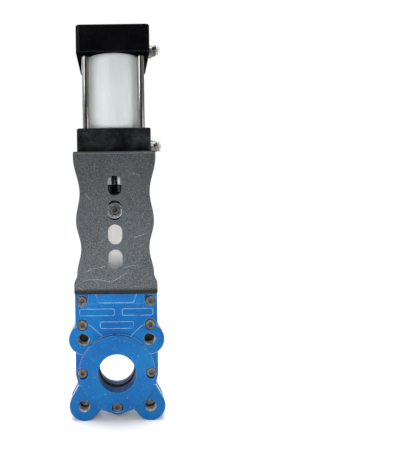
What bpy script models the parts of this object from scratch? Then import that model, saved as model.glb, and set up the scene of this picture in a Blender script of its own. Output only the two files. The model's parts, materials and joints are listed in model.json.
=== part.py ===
"""Pneumatic knife gate valve, DN50, with a double-acting cylinder on a folded plate yoke.

The frame: origin at the centre of the bore, Y along the pipe with the front of the valve at -Y,
X across the valve and Z up, along the travel of the gate. The valve is modelled open.
Sizes are written in millimetres and turned into metres with MM.
"""

import math

import bmesh
import bpy
from mathutils import Matrix
from mathutils.geometry import convex_hull_2d

MM = 0.001
GAP = 0.3 * MM

# Body: two cast halves clamped around the gate
BORE_R = 25.0 * MM
SPLIT_Y = 0.85 * MM
PLATE_Y = 17.3 * MM
LUG_FACE_Y = 18.3 * MM
FACE_Y = 23.0 * MM
RAISED_FACE_R = 50.75 * MM
BODY_HALF_WIDTH = 55.4 * MM
BODY_TOP = 111.7 * MM
BODY_ARC_R = 54.5 * MM
BODY_TIP = 55.7 * MM
LUG_XZ = 125.0 * MM / 2 / math.sqrt(2)
LUG_R = 20.0 * MM
LUG_HOLE_R = 6.9 * MM
LOWER_LUG_INNER_Y = 4.0 * MM

# Seats, gate and its slot
GATE_HALF_WIDTH = 32.0 * MM
GATE_HALF_THICK = 2.75 * MM
GATE_TRAVEL = 58.0 * MM
GATE_SHOULDER = 184.0 * MM
TONGUE_HALF_WIDTH = 11.0 * MM
TONGUE_TOP = 231.0 * MM
SLOT_Y = 3.2 * MM
SLOT_HALF_WIDTH = 34.0 * MM
SEAT_R = 30.0 * MM
SEAT_DEPTH = 5.0 * MM
GASKET_HALF_THICK = SPLIT_Y - GAP
GASKET_INSET = 1.0 * MM

# Gland
CHAMBER_HALF_WIDTH = 36.0 * MM
CHAMBER_Y = 7.5 * MM
CHAMBER_FLOOR = 82.0 * MM
PACKING_RING_HEIGHT = 5.2 * MM
PACKING_RINGS = 3
FOLLOWER_TOP = 130.5 * MM
FOLLOWER_THICK = 8.0 * MM
FOLLOWER_HALF_WIDTH = 42.0 * MM
FOLLOWER_HALF_DEPTH = 24.5 * MM
STUD_X = 26.0 * MM
STUD_Y = 15.0 * MM
STUD_R = 4.0 * MM
STUD_BOTTOM = 93.0 * MM
STUD_TOP = 145.5 * MM
STUD_WASHER_R = 8.0 * MM
STUD_WASHER_THICK = 1.6 * MM
STUD_NUT_FLATS = 13.0 * MM
STUD_NUT_HEIGHT = 6.5 * MM

# Body screws, M8 socket heads in counterbores
SCREW_R = 4.0 * MM
SCREW_HEAD_R = 6.5 * MM
SCREW_HEAD_HEIGHT = 8.0 * MM
SCREW_SOCKET_FLATS = 6.0 * MM
SCREW_SOCKET_DEPTH = 4.0 * MM
COUNTERBORE_R = 7.5 * MM
COUNTERBORE_FLOOR_Y = 11.3 * MM
SCREW_PLACES = [(-46.0, 95.5), (46.0, 95.5), (-45.5, 63.7), (45.5, 63.7),
                (-46.0, 0.0), (46.0, 0.0), (0.0, -46.0)]

# Shoulders that carry the yoke
SHOULDER_HALF_WIDTH = 36.0 * MM
SHOULDER_END_Y = 50.7 * MM
SHOULDER_ROOT_Z = 94.2 * MM
SHOULDER_TIP_Z = 96.6 * MM
PAD_HALF_WIDTH = 26.0 * MM
PAD_PROUD = 1.8 * MM

# Yoke
YOKE_BOTTOM = BODY_TOP + GAP
YOKE_TOP = 289.7 * MM
YOKE_DEPTH = 68.3 * MM
YOKE_THICK = 5.0 * MM
YOKE_BEND_R = 6.5 * MM
YOKE_FOOT_END_Y = 22.0 * MM
YOKE_EDGE = [(112.0, 51.4), (125.0, 51.4), (138.0, 47.3), (169.0, 42.1), (203.0, 48.1),
             (238.0, 43.3), (282.0, 51.0), (289.7, 51.0)]
WINDOW_HALF_WIDTH = 8.7 * MM
WINDOW_HALF_HEIGHT = 12.3 * MM
WINDOW_CENTRES = [155.0, 186.0, 216.0, 246.5]
FOOT_SCREW_X = 25.0 * MM
FOOT_SCREW_Y = 41.5 * MM
FOOT_SCREW_R = 6.0 * MM
CYLINDER_SCREW_R = 5.0 * MM
YOKE_SCREW_REACH = 19.0 * MM

# Cylinder
HEAD_HALF = 47.8 * MM
HEAD_CORNER_R = 4.5 * MM
HEAD_BOTTOM = YOKE_TOP + GAP
HEAD_TOP = 322.0 * MM
CAP_BOTTOM = 420.0 * MM
CAP_TOP = 456.1 * MM
TUBE_INNER_R = 40.0 * MM
TUBE_OUTER_R = 43.0 * MM
TUBE_GROOVE = 4.0 * MM
BOSS_R = 23.0 * MM
BOSS_BOTTOM = 268.0 * MM
BUSH_R = 15.5 * MM
BUSH_BOTTOM = 276.0 * MM
BUSH_TOP = 308.0 * MM
ROD_SEAL_R = 16.5 * MM
SEAL_TOP = 272.0 * MM
TIE_XY = 36.0 * MM
TIE_R = 4.75 * MM
CUSHION_CHAMBER_R = 18.0 * MM
CUSHION_CHAMBER_DEPTH = 10.0 * MM
NUT_RECESS_R = 8.5 * MM
NUT_RECESS_DEPTH = 9.0 * MM
TIE_NUT_FLATS = 14.0 * MM
TIE_SOCKET_FLATS = 6.0 * MM
TIE_ROD_BOTTOM = 306.5 * MM
PORT_Y = -11.0 * MM
PORT_R = 6.4 * MM
PORT_INNER_X = 28.0 * MM
PASSAGE_R = 3.5 * MM
CAP_PORT_Z = 434.0 * MM
HEAD_PORT_Z = 302.5 * MM
NEEDLE_Y = 11.0 * MM
NEEDLE_R = 4.2 * MM
CAP_NEEDLE_Z = 431.5 * MM
HEAD_NEEDLE_Z = 313.0 * MM
NEEDLE_LENGTH = 9.5 * MM
NEEDLE_SLOT_TURN = 35

# Piston, rod and clevis
ROD_R = 12.5 * MM
ROD_SHOULDER_Z = 252.0 * MM
ROD_THREAD_R = 8.0 * MM
ROD_THREAD_END = 234.6 * MM
PISTON_BOTTOM = 396.0 * MM
PISTON_TOP = 418.0 * MM
PISTON_GROOVE = (403.0 * MM, 411.0 * MM)
PISTON_GROOVE_DEPTH = 5.0 * MM
ROD_STUB_TOP = 425.5 * MM
ROD_FLAT = 10.5 * MM
ROD_FLAT_TOP = 260.5 * MM
ROD_FLAT_TURN = 35
LOCK_NUT_R = 12.2 * MM
CLEVIS_BOTTOM = 203.0 * MM
CLEVIS_TOP = 241.0 * MM
CLEVIS_HALF = 14.0 * MM
CLEVIS_SLOT_TOP = 232.0 * MM
PIN_Z = 216.5 * MM
PIN_R = 5.0 * MM
PIN_END_Y = -26.0 * MM
PIN_HEAD_R = 8.0 * MM
PIN_HEAD_HEIGHT = 8.3 * MM
PIN_SOCKET_FLATS = 8.0 * MM
PIN_SOCKET_DEPTH = 5.0 * MM
PIN_NUT_FLATS = 16.0 * MM
PIN_NUT_HEIGHT = 7.4 * MM
PIN_WASHER_R = 10.5 * MM
PIN_WASHER_THICK = 1.6 * MM

# Air fittings, measured outwards from the face of the head
FITTING_HEX_FLATS = 17.0 * MM
FITTING_HEX_HEIGHT = 5.5 * MM
FITTING_THREAD = 9.0 * MM
FITTING_SLEEVE_R = 8.0 * MM
FITTING_SLEEVE_END = 10.8 * MM
FITTING_SOCKET_R = 5.5 * MM
FITTING_SOCKET_FLOOR = 3.0 * MM
FITTING_PASSAGE_R = 3.0 * MM
COLLAR_R = 5.2 * MM
COLLAR_START = 6.0 * MM
COLLAR_FLANGE_R = 6.9 * MM
COLLAR_FLANGE_START = 12.7 * MM
COLLAR_END = 15.5 * MM
HOSE_R = 4.1 * MM

# How far a cutter or a joined shape runs past a face
PAST = 2.0 * MM

HALVES = {"front": -1, "rear": 1}

# Facets on round shapes
LARGE = 32
MEDIUM = 20
FAIR = 12
SMALL = 8


def clear_scene():
    for obj in list(bpy.data.objects):
        bpy.data.objects.remove(obj, do_unlink=True)


def make_collection(name):
    collection = bpy.data.collections.new(name)
    bpy.context.scene.collection.children.link(collection)
    return collection


clear_scene()
PARTS = make_collection("knife_gate_valve")
CUTTERS = make_collection("cutters")


def make_material(name, colour, roughness, metallic):
    material = bpy.data.materials.new(name)
    material.use_nodes = True
    shader = material.node_tree.nodes["Principled BSDF"]
    shader.inputs["Base Color"].default_value = (*colour, 1.0)
    shader.inputs["Roughness"].default_value = roughness
    shader.inputs["Metallic"].default_value = metallic
    return material


FINISHES = {
    "blue_paint": ((0.02, 0.14, 0.47), 0.3, 0.0),
    "yoke_paint": ((0.07, 0.08, 0.09), 0.6, 0.0),
    "black_anodised": ((0.01, 0.011, 0.013), 0.3, 0.2),
    "satin_aluminium": ((0.75, 0.76, 0.77), 0.35, 1.0),
    "stainless": ((0.6, 0.6, 0.58), 0.3, 1.0),
    "zinc_steel": ((0.5, 0.5, 0.5), 0.35, 1.0),
    "hard_chrome": ((0.4, 0.41, 0.43), 0.12, 1.0),
    "black_steel": ((0.02, 0.02, 0.022), 0.4, 0.6),
    "nickel_brass": ((0.55, 0.53, 0.48), 0.25, 1.0),
    "bronze": ((0.5, 0.3, 0.12), 0.35, 1.0),
    "rubber": ((0.015, 0.015, 0.015), 0.8, 0.0),
    "packing": ((0.6, 0.58, 0.52), 0.8, 0.0),
    "grey_plastic": ((0.45, 0.47, 0.5), 0.5, 0.0),
}
MATERIALS = {name: make_material(name, *values) for name, values in FINISHES.items()}


# ---- modelling helpers ----

def make_object(name, bm):
    """Turn a bmesh into an object, kept among the cutters until it is finished as a part."""
    mesh = bpy.data.meshes.new(name)
    bmesh.ops.recalc_face_normals(bm, faces=bm.faces)
    bm.to_mesh(mesh)
    bm.free()
    obj = bpy.data.objects.new(name, mesh)
    CUTTERS.objects.link(obj)
    hide_as_cutter(obj)
    return obj


def hide_as_cutter(obj):
    obj.hide_render = True
    obj.display_type = "WIRE"


def finish_part(obj, name, finish, smooth=True):
    """Make a shape a part: its node name, its material and its shading."""
    CUTTERS.objects.unlink(obj)
    PARTS.objects.link(obj)
    obj.hide_render = False
    obj.display_type = "TEXTURED"
    obj.name = name
    obj.data.name = name
    obj.data.materials.clear()
    obj.data.materials.append(MATERIALS[finish])
    if smooth:
        obj.data.shade_smooth()
        obj.data.set_sharp_from_angle(angle=math.radians(35))
    return obj


def box(low, high):
    bm = bmesh.new()
    bmesh.ops.create_cube(bm, size=1.0)
    size = [b - a for a, b in zip(low, high)]
    middle = [(a + b) / 2 for a, b in zip(low, high)]
    bmesh.ops.scale(bm, vec=size, verts=bm.verts)
    bmesh.ops.translate(bm, vec=middle, verts=bm.verts)
    return make_object("box", bm)


TURN_TO = {
    "X": Matrix.Rotation(math.pi / 2, 4, "Y"),
    "Y": Matrix.Rotation(-math.pi / 2, 4, "X"),
    "Z": Matrix.Identity(4),
}


def bar(radius, start, end, axis="Z", at=(0.0, 0.0), sides=FAIR, end_radius=None):
    """A round, tapered or many-sided bar along an axis; at gives its two other coordinates."""
    bm = bmesh.new()
    tip = radius if end_radius is None else end_radius
    bmesh.ops.create_cone(bm, cap_ends=True, segments=sides, radius1=radius, radius2=tip, depth=end - start)
    if sides == 6:
        bmesh.ops.rotate(bm, matrix=Matrix.Rotation(math.pi / 6, 3, "Z"), verts=bm.verts)
    bmesh.ops.translate(bm, vec=(0.0, 0.0, (start + end) / 2), verts=bm.verts)
    bm.transform(TURN_TO[axis])
    offset = {"X": (0.0, at[0], at[1]), "Y": (at[0], 0.0, at[1]), "Z": (at[0], at[1], 0.0)}[axis]
    bmesh.ops.translate(bm, vec=offset, verts=bm.verts)
    return make_object("bar", bm)


def hexagon_radius(across_flats):
    return across_flats / math.sqrt(3)


def arc(centre, radius, start_deg, end_deg, steps):
    """Points along an arc, both ends included."""
    angles = [math.radians(start_deg + (end_deg - start_deg) * i / steps) for i in range(steps + 1)]
    return [(centre[0] + radius * math.cos(a), centre[1] + radius * math.sin(a)) for a in angles]


def mirrored(points):
    """A right-hand outline followed by its mirror image about the vertical axis."""
    return points + [(-x, z) for x, z in reversed(points)]


def rectangle(half_x, low_z, high_z):
    return [(half_x, low_z), (half_x, high_z), (-half_x, high_z), (-half_x, low_z)]


def circle(centre, radius, steps):
    return arc(centre, radius, 0, 360 * (steps - 1) / steps, steps - 1)


PLANES = {
    "XZ": (math.pi / 2, 0.0, 0.0),
    "YZ": (math.pi / 2, 0.0, math.pi / 2),
    "XY": (0.0, 0.0, 0.0),
}


def slab(loops, low, high, plane="XZ"):
    """A flat outline, with any holes as further loops, extruded between two depths."""
    curve = bpy.data.curves.new("slab", "CURVE")
    curve.dimensions = "2D"
    curve.fill_mode = "BOTH"
    curve.extrude = (high - low) / 2
    for points in loops:
        spline = curve.splines.new("POLY")
        spline.points.add(len(points) - 1)
        for point, (x, y) in zip(spline.points, points):
            point.co = (x, y, 0.0, 1.0)
        spline.use_cyclic_u = True
    guide = bpy.data.objects.new("slab", curve)
    CUTTERS.objects.link(guide)
    guide.rotation_euler = PLANES[plane]
    depth = (low + high) / 2
    guide.location = {"XZ": (0.0, depth, 0.0), "YZ": (depth, 0.0, 0.0), "XY": (0.0, 0.0, depth)}[plane]
    bpy.context.view_layer.update()
    mesh = bpy.data.meshes.new_from_object(guide.evaluated_get(bpy.context.evaluated_depsgraph_get()))
    bm = bmesh.new()
    bm.from_mesh(mesh)
    bmesh.ops.remove_doubles(bm, verts=bm.verts, dist=0.001 * MM)
    bm.transform(guide.matrix_world)
    bpy.data.objects.remove(guide, do_unlink=True)
    bpy.data.meshes.remove(mesh)
    return make_object("slab", bm)


def turned(profile, steps=MEDIUM, closed=False):
    """A turned shape about Z from a profile of (radius, z) that runs down its outer side."""
    mesh = bpy.data.meshes.new("turned")
    edges = [(i, i + 1) for i in range(len(profile) - 1)]
    if closed:
        edges.append((len(profile) - 1, 0))
    mesh.from_pydata([(r, 0.0, z) for r, z in profile], edges, [])
    obj = bpy.data.objects.new("turned", mesh)
    CUTTERS.objects.link(obj)
    hide_as_cutter(obj)
    screw = obj.modifiers.new("turn", "SCREW")
    screw.steps = steps
    screw.render_steps = steps
    screw.use_merge_vertices = True
    screw.merge_threshold = 0.001 * MM
    return obj


def ring(inner, outer, low, high, steps=MEDIUM):
    return turned([(outer, high), (outer, low), (inner, low), (inner, high)], steps, closed=True)


def add_boolean(target, tool, operation):
    modifier = target.modifiers.new(operation.lower(), "BOOLEAN")
    modifier.operation = operation
    modifier.object = tool
    modifier.solver = "EXACT"
    return target


def cut(target, *tools):
    for tool in tools:
        add_boolean(target, tool, "DIFFERENCE")
    return target


def join(target, *tools):
    for tool in tools:
        add_boolean(target, tool, "UNION")
    return target


def keep_common(target, tool):
    return add_boolean(target, tool, "INTERSECT")


def round_edges(obj, chosen, width, segments):
    """Round the edges for which chosen(first, second) is true."""
    bm = bmesh.new()
    bm.from_mesh(obj.data)
    edges = [e for e in bm.edges if chosen(e.verts[0].co, e.verts[1].co)]
    bmesh.ops.bevel(bm, geom=edges, offset=width, segments=segments, profile=0.5, affect="EDGES")
    bm.to_mesh(obj.data)
    bm.free()
    return obj


def is_vertical(first, second):
    return abs(first.z - second.z) > 1.0 * MM and math.hypot(first.x - second.x, first.y - second.y) < 0.01 * MM


def depths(side, near, far):
    """The two Y limits of a piece that lies between two distances from the split plane."""
    return (near, far) if side > 0 else (-far, -near)


# ---- body ----

def body_outline():
    sweep = arc((0.0, 0.0), BODY_ARC_R, -66, -18, 6)
    right = [(3.0 * MM, -BODY_TIP + 0.6 * MM)] + sweep
    right += [(BODY_HALF_WIDTH, -3.0 * MM), (BODY_HALF_WIDTH, BODY_TOP)]
    return mirrored(right)


def lug_outline(x_sign, z_sign):
    """A round bolt lug drawn in to meet the raised face."""
    boss = circle((LUG_XZ, LUG_XZ * z_sign), LUG_R, 18)
    if z_sign > 0:
        corners = [(36.0, 62.5), (20.0, 49.0), (16.0, 34.0)]
    else:
        corners = [(51.6, -16.8), (22.4, -49.8), (24.0, -24.0)]
    points = boss + [(x * MM, z * MM) for x, z in corners]
    return [(points[i][0] * x_sign, points[i][1]) for i in convex_hull_2d(points)]


def shoulder(side):
    """The bracket on one half that a foot of the yoke stands on, with a blank raised panel."""
    root = PLATE_Y - 4.0 * MM
    profile = [(root, SHOULDER_ROOT_Z), (SHOULDER_END_Y - 2.0 * MM, SHOULDER_TIP_Z),
               (SHOULDER_END_Y, SHOULDER_TIP_Z + 2.0 * MM), (SHOULDER_END_Y, BODY_TOP), (root, BODY_TOP)]
    block = slab([[(y * side, z) for y, z in profile]], -SHOULDER_HALF_WIDTH, SHOULDER_HALF_WIDTH, "YZ")
    outer = SHOULDER_END_Y - 0.1 * MM
    round_edges(block, lambda a, b: is_vertical(a, b) and abs(a.y) > outer, 4.0 * MM, 3)
    low = BODY_TOP - 12.5 * MM
    high = BODY_TOP - 1.0 * MM
    panel_outline = [(PAD_HALF_WIDTH - 4.0 * MM, low), (PAD_HALF_WIDTH, high)]
    near, far = depths(side, SHOULDER_END_Y - 1.0 * MM, SHOULDER_END_Y + PAD_PROUD)
    panel = slab([mirrored(panel_outline)], near, far)
    return join(block, panel)


def gate_slot(side):
    """The pocket for the gate: straight sides above a round floor."""
    outline = arc((0.0, 0.0), SLOT_HALF_WIDTH, 180, 360, 10)
    outline += [(SLOT_HALF_WIDTH, BODY_TOP - 20.0 * MM), (-SLOT_HALF_WIDTH, BODY_TOP - 20.0 * MM)]
    near, far = depths(side, 0.0, SLOT_Y)
    return slab([outline], near, far)


def packing_chamber(side):
    near, far = depths(side, 0.0, CHAMBER_Y)
    return box((-CHAMBER_HALF_WIDTH, near, CHAMBER_FLOOR), (CHAMBER_HALF_WIDTH, far, BODY_TOP + PAST))


def body_half(name):
    side = HALVES[name]
    half = slab([body_outline()], *depths(side, SPLIT_Y, PLATE_Y))
    face = bar(RAISED_FACE_R, *depths(side, PLATE_Y - 4.0 * MM, FACE_Y), axis="Y", sides=LARGE)
    join(half, shoulder(side), face)
    for x_sign in (-1, 1):
        join(half, slab([lug_outline(x_sign, 1)], *depths(side, SPLIT_Y, LUG_FACE_Y)))
        join(half, slab([lug_outline(x_sign, -1)], *depths(side, LOWER_LUG_INNER_Y, LUG_FACE_Y)))
    through = depths(side, -1.0 * MM, FACE_Y + 3.0 * MM)
    recess = depths(side, 0.0, SLOT_Y + SEAT_DEPTH)
    cut(half, bar(BORE_R, *through, axis="Y", sides=LARGE))
    cut(half, bar(SEAT_R + GAP, *recess, axis="Y", sides=LARGE))
    cut(half, gate_slot(side), packing_chamber(side))
    for x_sign in (-1, 1):
        for z_sign in (-1, 1):
            at = (LUG_XZ * x_sign, LUG_XZ * z_sign)
            cut(half, bar(LUG_HOLE_R, *through, axis="Y", at=at, sides=FAIR))
    for x, z in SCREW_PLACES:
        at = (x * MM, z * MM)
        cut(half, bar(SCREW_R + GAP, *through, axis="Y", at=at, sides=SMALL))
        if side < 0:
            counterbore = depths(side, COUNTERBORE_FLOOR_Y, FACE_Y + 3.0 * MM)
            cut(half, bar(COUNTERBORE_R, *counterbore, axis="Y", at=at, sides=FAIR))
    for x_sign in (-1, 1):
        foot = (FOOT_SCREW_X * x_sign, FOOT_SCREW_Y * side)
        foot_hole = (BODY_TOP + GAP - YOKE_SCREW_REACH, BODY_TOP + PAST)
        cut(half, bar(FOOT_SCREW_R + GAP, *foot_hole, at=foot, sides=SMALL))
        stud = (STUD_X * x_sign, STUD_Y * side)
        cut(half, bar(STUD_R + GAP, STUD_BOTTOM - GAP, BODY_TOP + PAST, at=stud, sides=SMALL))
    finish_part(half, f"body_{name}", "blue_paint")


def body_gasket():
    """The flat seal that follows the edge of the halves on both sides of the gate slot."""
    inset = GASKET_INSET
    outer = arc((0.0, 0.0), BODY_ARC_R - inset, -70, -18, 8)
    outer += [(BODY_HALF_WIDTH - inset, -3.0 * MM), (BODY_HALF_WIDTH - inset, BODY_TOP - inset)]
    inner = [(CHAMBER_HALF_WIDTH + 1.0 * MM, BODY_TOP - inset)]
    inner += arc((0.0, 0.0), CHAMBER_HALF_WIDTH + 1.0 * MM, 0, -90, 12)
    right = outer + inner
    loop = right[:-1] + [(0.0, inner[-1][1])] + [(-x, z) for x, z in reversed(right[:-1])]
    gasket = slab([loop], -GASKET_HALF_THICK, GASKET_HALF_THICK)
    for x, z in SCREW_PLACES:
        cut(gasket, bar(SCREW_R + GAP, -3.0 * MM, 3.0 * MM, axis="Y", at=(x * MM, z * MM), sides=SMALL))
    finish_part(gasket, "body_gasket", "rubber")


def seat_ring(name):
    """The replaceable seat in one half, against the face of the gate."""
    low = SLOT_Y - 0.1 * MM
    seat = ring(BORE_R, SEAT_R, low, SLOT_Y + SEAT_DEPTH - GAP, LARGE)
    seat.rotation_euler.x = math.pi / 2 * -HALVES[name]
    finish_part(seat, f"seat_ring_{name}", "rubber", smooth=False)


def body_screws():
    """Socket head screws that clamp the halves; the rear half is tapped for them."""
    for number, (x, z) in enumerate(SCREW_PLACES, 1):
        seat_y = COUNTERBORE_FLOOR_Y + GAP
        head = bar(SCREW_HEAD_R, 0.0, SCREW_HEAD_HEIGHT, sides=FAIR)
        socket_floor = SCREW_HEAD_HEIGHT - SCREW_SOCKET_DEPTH
        socket = bar(hexagon_radius(SCREW_SOCKET_FLATS), socket_floor, SCREW_HEAD_HEIGHT + PAST, sides=6)
        shank = bar(SCREW_R, -seat_y - PLATE_Y - 2.0 * MM, 1.0 * MM, sides=SMALL)
        screw = cut(join(head, shank), socket)
        place_tools(screw, (x * MM, -seat_y, z * MM), (math.pi / 2, 0.0, 0.0))
        finish_part(screw, f"body_screw_{number}", "stainless")


def place_tools(obj, location, rotation):
    """Move a shape and the tools that cut or join it as one."""
    for item in [obj] + [m.object for m in obj.modifiers if m.type == "BOOLEAN"]:
        item.location = location
        item.rotation_euler = rotation


# ---- gland ----

def packing_loops():
    clearance = GAP + 0.05 * MM
    outer = rectangle(CHAMBER_HALF_WIDTH - GAP, -CHAMBER_Y + GAP, CHAMBER_Y - GAP)
    inner = rectangle(GATE_HALF_WIDTH + clearance, -GATE_HALF_THICK - clearance, GATE_HALF_THICK + clearance)
    return [outer, inner]


def packing_rings():
    names = ["lower", "middle", "upper"]
    for number in range(PACKING_RINGS):
        low = CHAMBER_FLOOR + GAP + number * (PACKING_RING_HEIGHT + GAP)
        packing = slab(packing_loops(), low, low + PACKING_RING_HEIGHT, "XY")
        finish_part(packing, f"packing_ring_{names[number]}", "packing", smooth=False)


def gland_follower():
    """The plate whose spigot presses on the packing, with a slot for the gate."""
    low = FOLLOWER_TOP - FOLLOWER_THICK
    flange = box((-FOLLOWER_HALF_WIDTH, -FOLLOWER_HALF_DEPTH, low),
                 (FOLLOWER_HALF_WIDTH, FOLLOWER_HALF_DEPTH, FOLLOWER_TOP))
    round_edges(flange, is_vertical, 6.0 * MM, 3)
    packing_top = CHAMBER_FLOOR + PACKING_RINGS * (PACKING_RING_HEIGHT + GAP) + GAP
    outer, inner = packing_loops()
    join(flange, slab([outer], packing_top, low + 2.0 * MM, "XY"))
    cut(flange, slab([inner], packing_top - PAST, FOLLOWER_TOP + PAST, "XY"))
    for x_sign in (-1, 1):
        for y_sign in (-1, 1):
            at = (STUD_X * x_sign, STUD_Y * y_sign)
            cut(flange, bar(STUD_R + GAP, low - PAST, FOLLOWER_TOP + PAST, at=at, sides=SMALL))
    finish_part(flange, "gland_follower", "blue_paint")


def gland_fasteners():
    """Studs in the body, and the nuts that pull the follower down; each nut has its washer."""
    number = 0
    for x_sign in (-1, 1):
        for y_sign in (-1, 1):
            number += 1
            at = (STUD_X * x_sign, STUD_Y * y_sign)
            stud = bar(STUD_R, STUD_BOTTOM, STUD_TOP - 1.0 * MM, at=at, sides=SMALL)
            tip = bar(STUD_R, STUD_TOP - 1.5 * MM, STUD_TOP, at=at, sides=SMALL, end_radius=STUD_R * 0.75)
            finish_part(join(stud, tip), f"gland_stud_{number}", "zinc_steel")
            seat = FOLLOWER_TOP + GAP
            nut_seat = seat + STUD_WASHER_THICK
            washer = bar(STUD_WASHER_R, seat, nut_seat, at=at, sides=FAIR)
            nut_top = nut_seat + STUD_NUT_HEIGHT
            nut = bar(hexagon_radius(STUD_NUT_FLATS), nut_seat - 0.2 * MM, nut_top, at=at, sides=6)
            hole = bar(STUD_R + GAP, seat - PAST, seat + 10.0 * MM, at=at, sides=SMALL)
            finish_part(cut(join(washer, nut), hole), f"gland_nut_{number}", "zinc_steel")


def gate():
    """The blade: a round nose, straight sides and a narrow tongue for the clevis."""
    nose_z = GATE_TRAVEL
    outline = arc((0.0, nose_z), GATE_HALF_WIDTH, 180, 360, 12)
    slope = GATE_HALF_WIDTH - TONGUE_HALF_WIDTH
    outline += [(GATE_HALF_WIDTH, GATE_SHOULDER), (TONGUE_HALF_WIDTH, GATE_SHOULDER + slope * 0.5)]
    outline += [(TONGUE_HALF_WIDTH, TONGUE_TOP), (-TONGUE_HALF_WIDTH, TONGUE_TOP)]
    outline += [(-TONGUE_HALF_WIDTH, GATE_SHOULDER + slope * 0.5), (-GATE_HALF_WIDTH, GATE_SHOULDER)]
    blade = slab([outline, circle((0.0, PIN_Z), PIN_R + GAP, FAIR)], -GATE_HALF_THICK, GATE_HALF_THICK)
    finish_part(blade, "gate", "stainless", smooth=False)


# ---- yoke ----

def yoke_profile():
    """The folded plate seen from the side: a web, two walls and two inturned feet."""
    wall = YOKE_DEPTH - YOKE_BEND_R
    low = YOKE_BOTTOM + YOKE_BEND_R
    high = YOKE_TOP - YOKE_BEND_R
    inner_r = YOKE_BEND_R - YOKE_THICK
    outer = [(YOKE_FOOT_END_Y, YOKE_BOTTOM)]
    outer += arc((wall, low), YOKE_BEND_R, -90, 0, 3) + arc((wall, high), YOKE_BEND_R, 0, 90, 3)
    inner = [(YOKE_FOOT_END_Y, YOKE_BOTTOM + YOKE_THICK)]
    inner += arc((wall, low), inner_r, -90, 0, 2) + arc((wall, high), inner_r, 0, 90, 2)
    return mirrored(outer) + [(-y, z) for y, z in inner] + list(reversed(inner))


def yoke_edge(z):
    """Half the yoke's width at a height: half-cosine waves between its crests and waists."""
    for (z0, w0), (z1, w1) in zip(YOKE_EDGE, YOKE_EDGE[1:]):
        if z <= z1 + 0.001:
            blend = (1 - math.cos(math.pi * (z - z0) / (z1 - z0))) / 2
            return w0 + (w1 - w0) * blend
    return YOKE_EDGE[-1][1]


def yoke_front_outline():
    steps = 18
    low = YOKE_EDGE[0][0] - 1.0
    high = YOKE_EDGE[-1][0] + 1.0
    heights = [low + (high - low) * i / steps for i in range(steps + 1)]
    return mirrored([(yoke_edge(max(z, YOKE_EDGE[0][0])) * MM, z * MM) for z in heights])


def window_outline(centre_z):
    straight = WINDOW_HALF_HEIGHT - WINDOW_HALF_WIDTH
    top = arc((0.0, centre_z + straight), WINDOW_HALF_WIDTH, 0, 180, 4)
    bottom = arc((0.0, centre_z - straight), WINDOW_HALF_WIDTH, 180, 360, 4)
    return top + bottom


def yoke():
    width = max(w for _, w in YOKE_EDGE) * MM + 1.0 * MM
    frame = slab([yoke_profile()], -width, width, "YZ")
    keep_common(frame, slab([yoke_front_outline()], -YOKE_DEPTH - 5.0 * MM, YOKE_DEPTH + 5.0 * MM))
    for z in WINDOW_CENTRES:
        cut(frame, slab([window_outline(z * MM)], -YOKE_DEPTH - 5.0 * MM, YOKE_DEPTH + 5.0 * MM))
    web = (YOKE_TOP - YOKE_THICK - 2.0 * MM, YOKE_TOP + PAST)
    foot = (YOKE_BOTTOM - PAST, YOKE_BOTTOM + YOKE_THICK + 2.0 * MM)
    cut(frame, bar(BOSS_R + 0.5 * MM, *web, sides=MEDIUM))
    for x_sign in (-1, 1):
        for y_sign in (-1, 1):
            tie = (TIE_XY * x_sign, TIE_XY * y_sign)
            cut(frame, bar(CYLINDER_SCREW_R + 0.5 * MM, *web, at=tie, sides=SMALL))
            screw = (FOOT_SCREW_X * x_sign, FOOT_SCREW_Y * y_sign)
            cut(frame, bar(FOOT_SCREW_R + 0.5 * MM, *foot, at=screw, sides=SMALL))
    finish_part(frame, "yoke", "yoke_paint")


def hex_screw(across_flats, head_height, shank_r, shank_length, washer_r, washer_height):
    """A hex screw with its washer, head up, on the origin."""
    head = bar(hexagon_radius(across_flats), washer_height - 0.2 * MM, washer_height + head_height, sides=6)
    washer = bar(washer_r, 0.0, washer_height, sides=FAIR)
    shank = bar(shank_r, -shank_length, 1.0 * MM, sides=SMALL)
    return join(head, washer, shank)


def yoke_screws():
    """The screws that hold the feet to the shoulders, and those that hold the cylinder to the web."""
    number = 0
    for x_sign in (-1, 1):
        for y_sign in (-1, 1):
            number += 1
            foot = hex_screw(18.0 * MM, 8.5 * MM, FOOT_SCREW_R, YOKE_SCREW_REACH, 11.5 * MM, 2.6 * MM)
            top = YOKE_BOTTOM + YOKE_THICK + GAP
            place_tools(foot, (FOOT_SCREW_X * x_sign, FOOT_SCREW_Y * y_sign, top), (0.0, 0.0, 0.0))
            finish_part(foot, f"foot_screw_{number}", "black_steel")
            mount = hex_screw(16.0 * MM, 6.4 * MM, CYLINDER_SCREW_R, YOKE_SCREW_REACH, 9.5 * MM, 2.0 * MM)
            under = YOKE_TOP - YOKE_THICK - GAP
            place_tools(mount, (TIE_XY * x_sign, TIE_XY * y_sign, under), (math.pi, 0.0, 0.0))
            finish_part(mount, f"cylinder_screw_{number}", "zinc_steel")


# ---- cylinder ----

def square_head(low, high):
    block = box((-HEAD_HALF, -HEAD_HALF, low), (HEAD_HALF, HEAD_HALF, high))
    return round_edges(block, is_vertical, HEAD_CORNER_R, 2)


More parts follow.
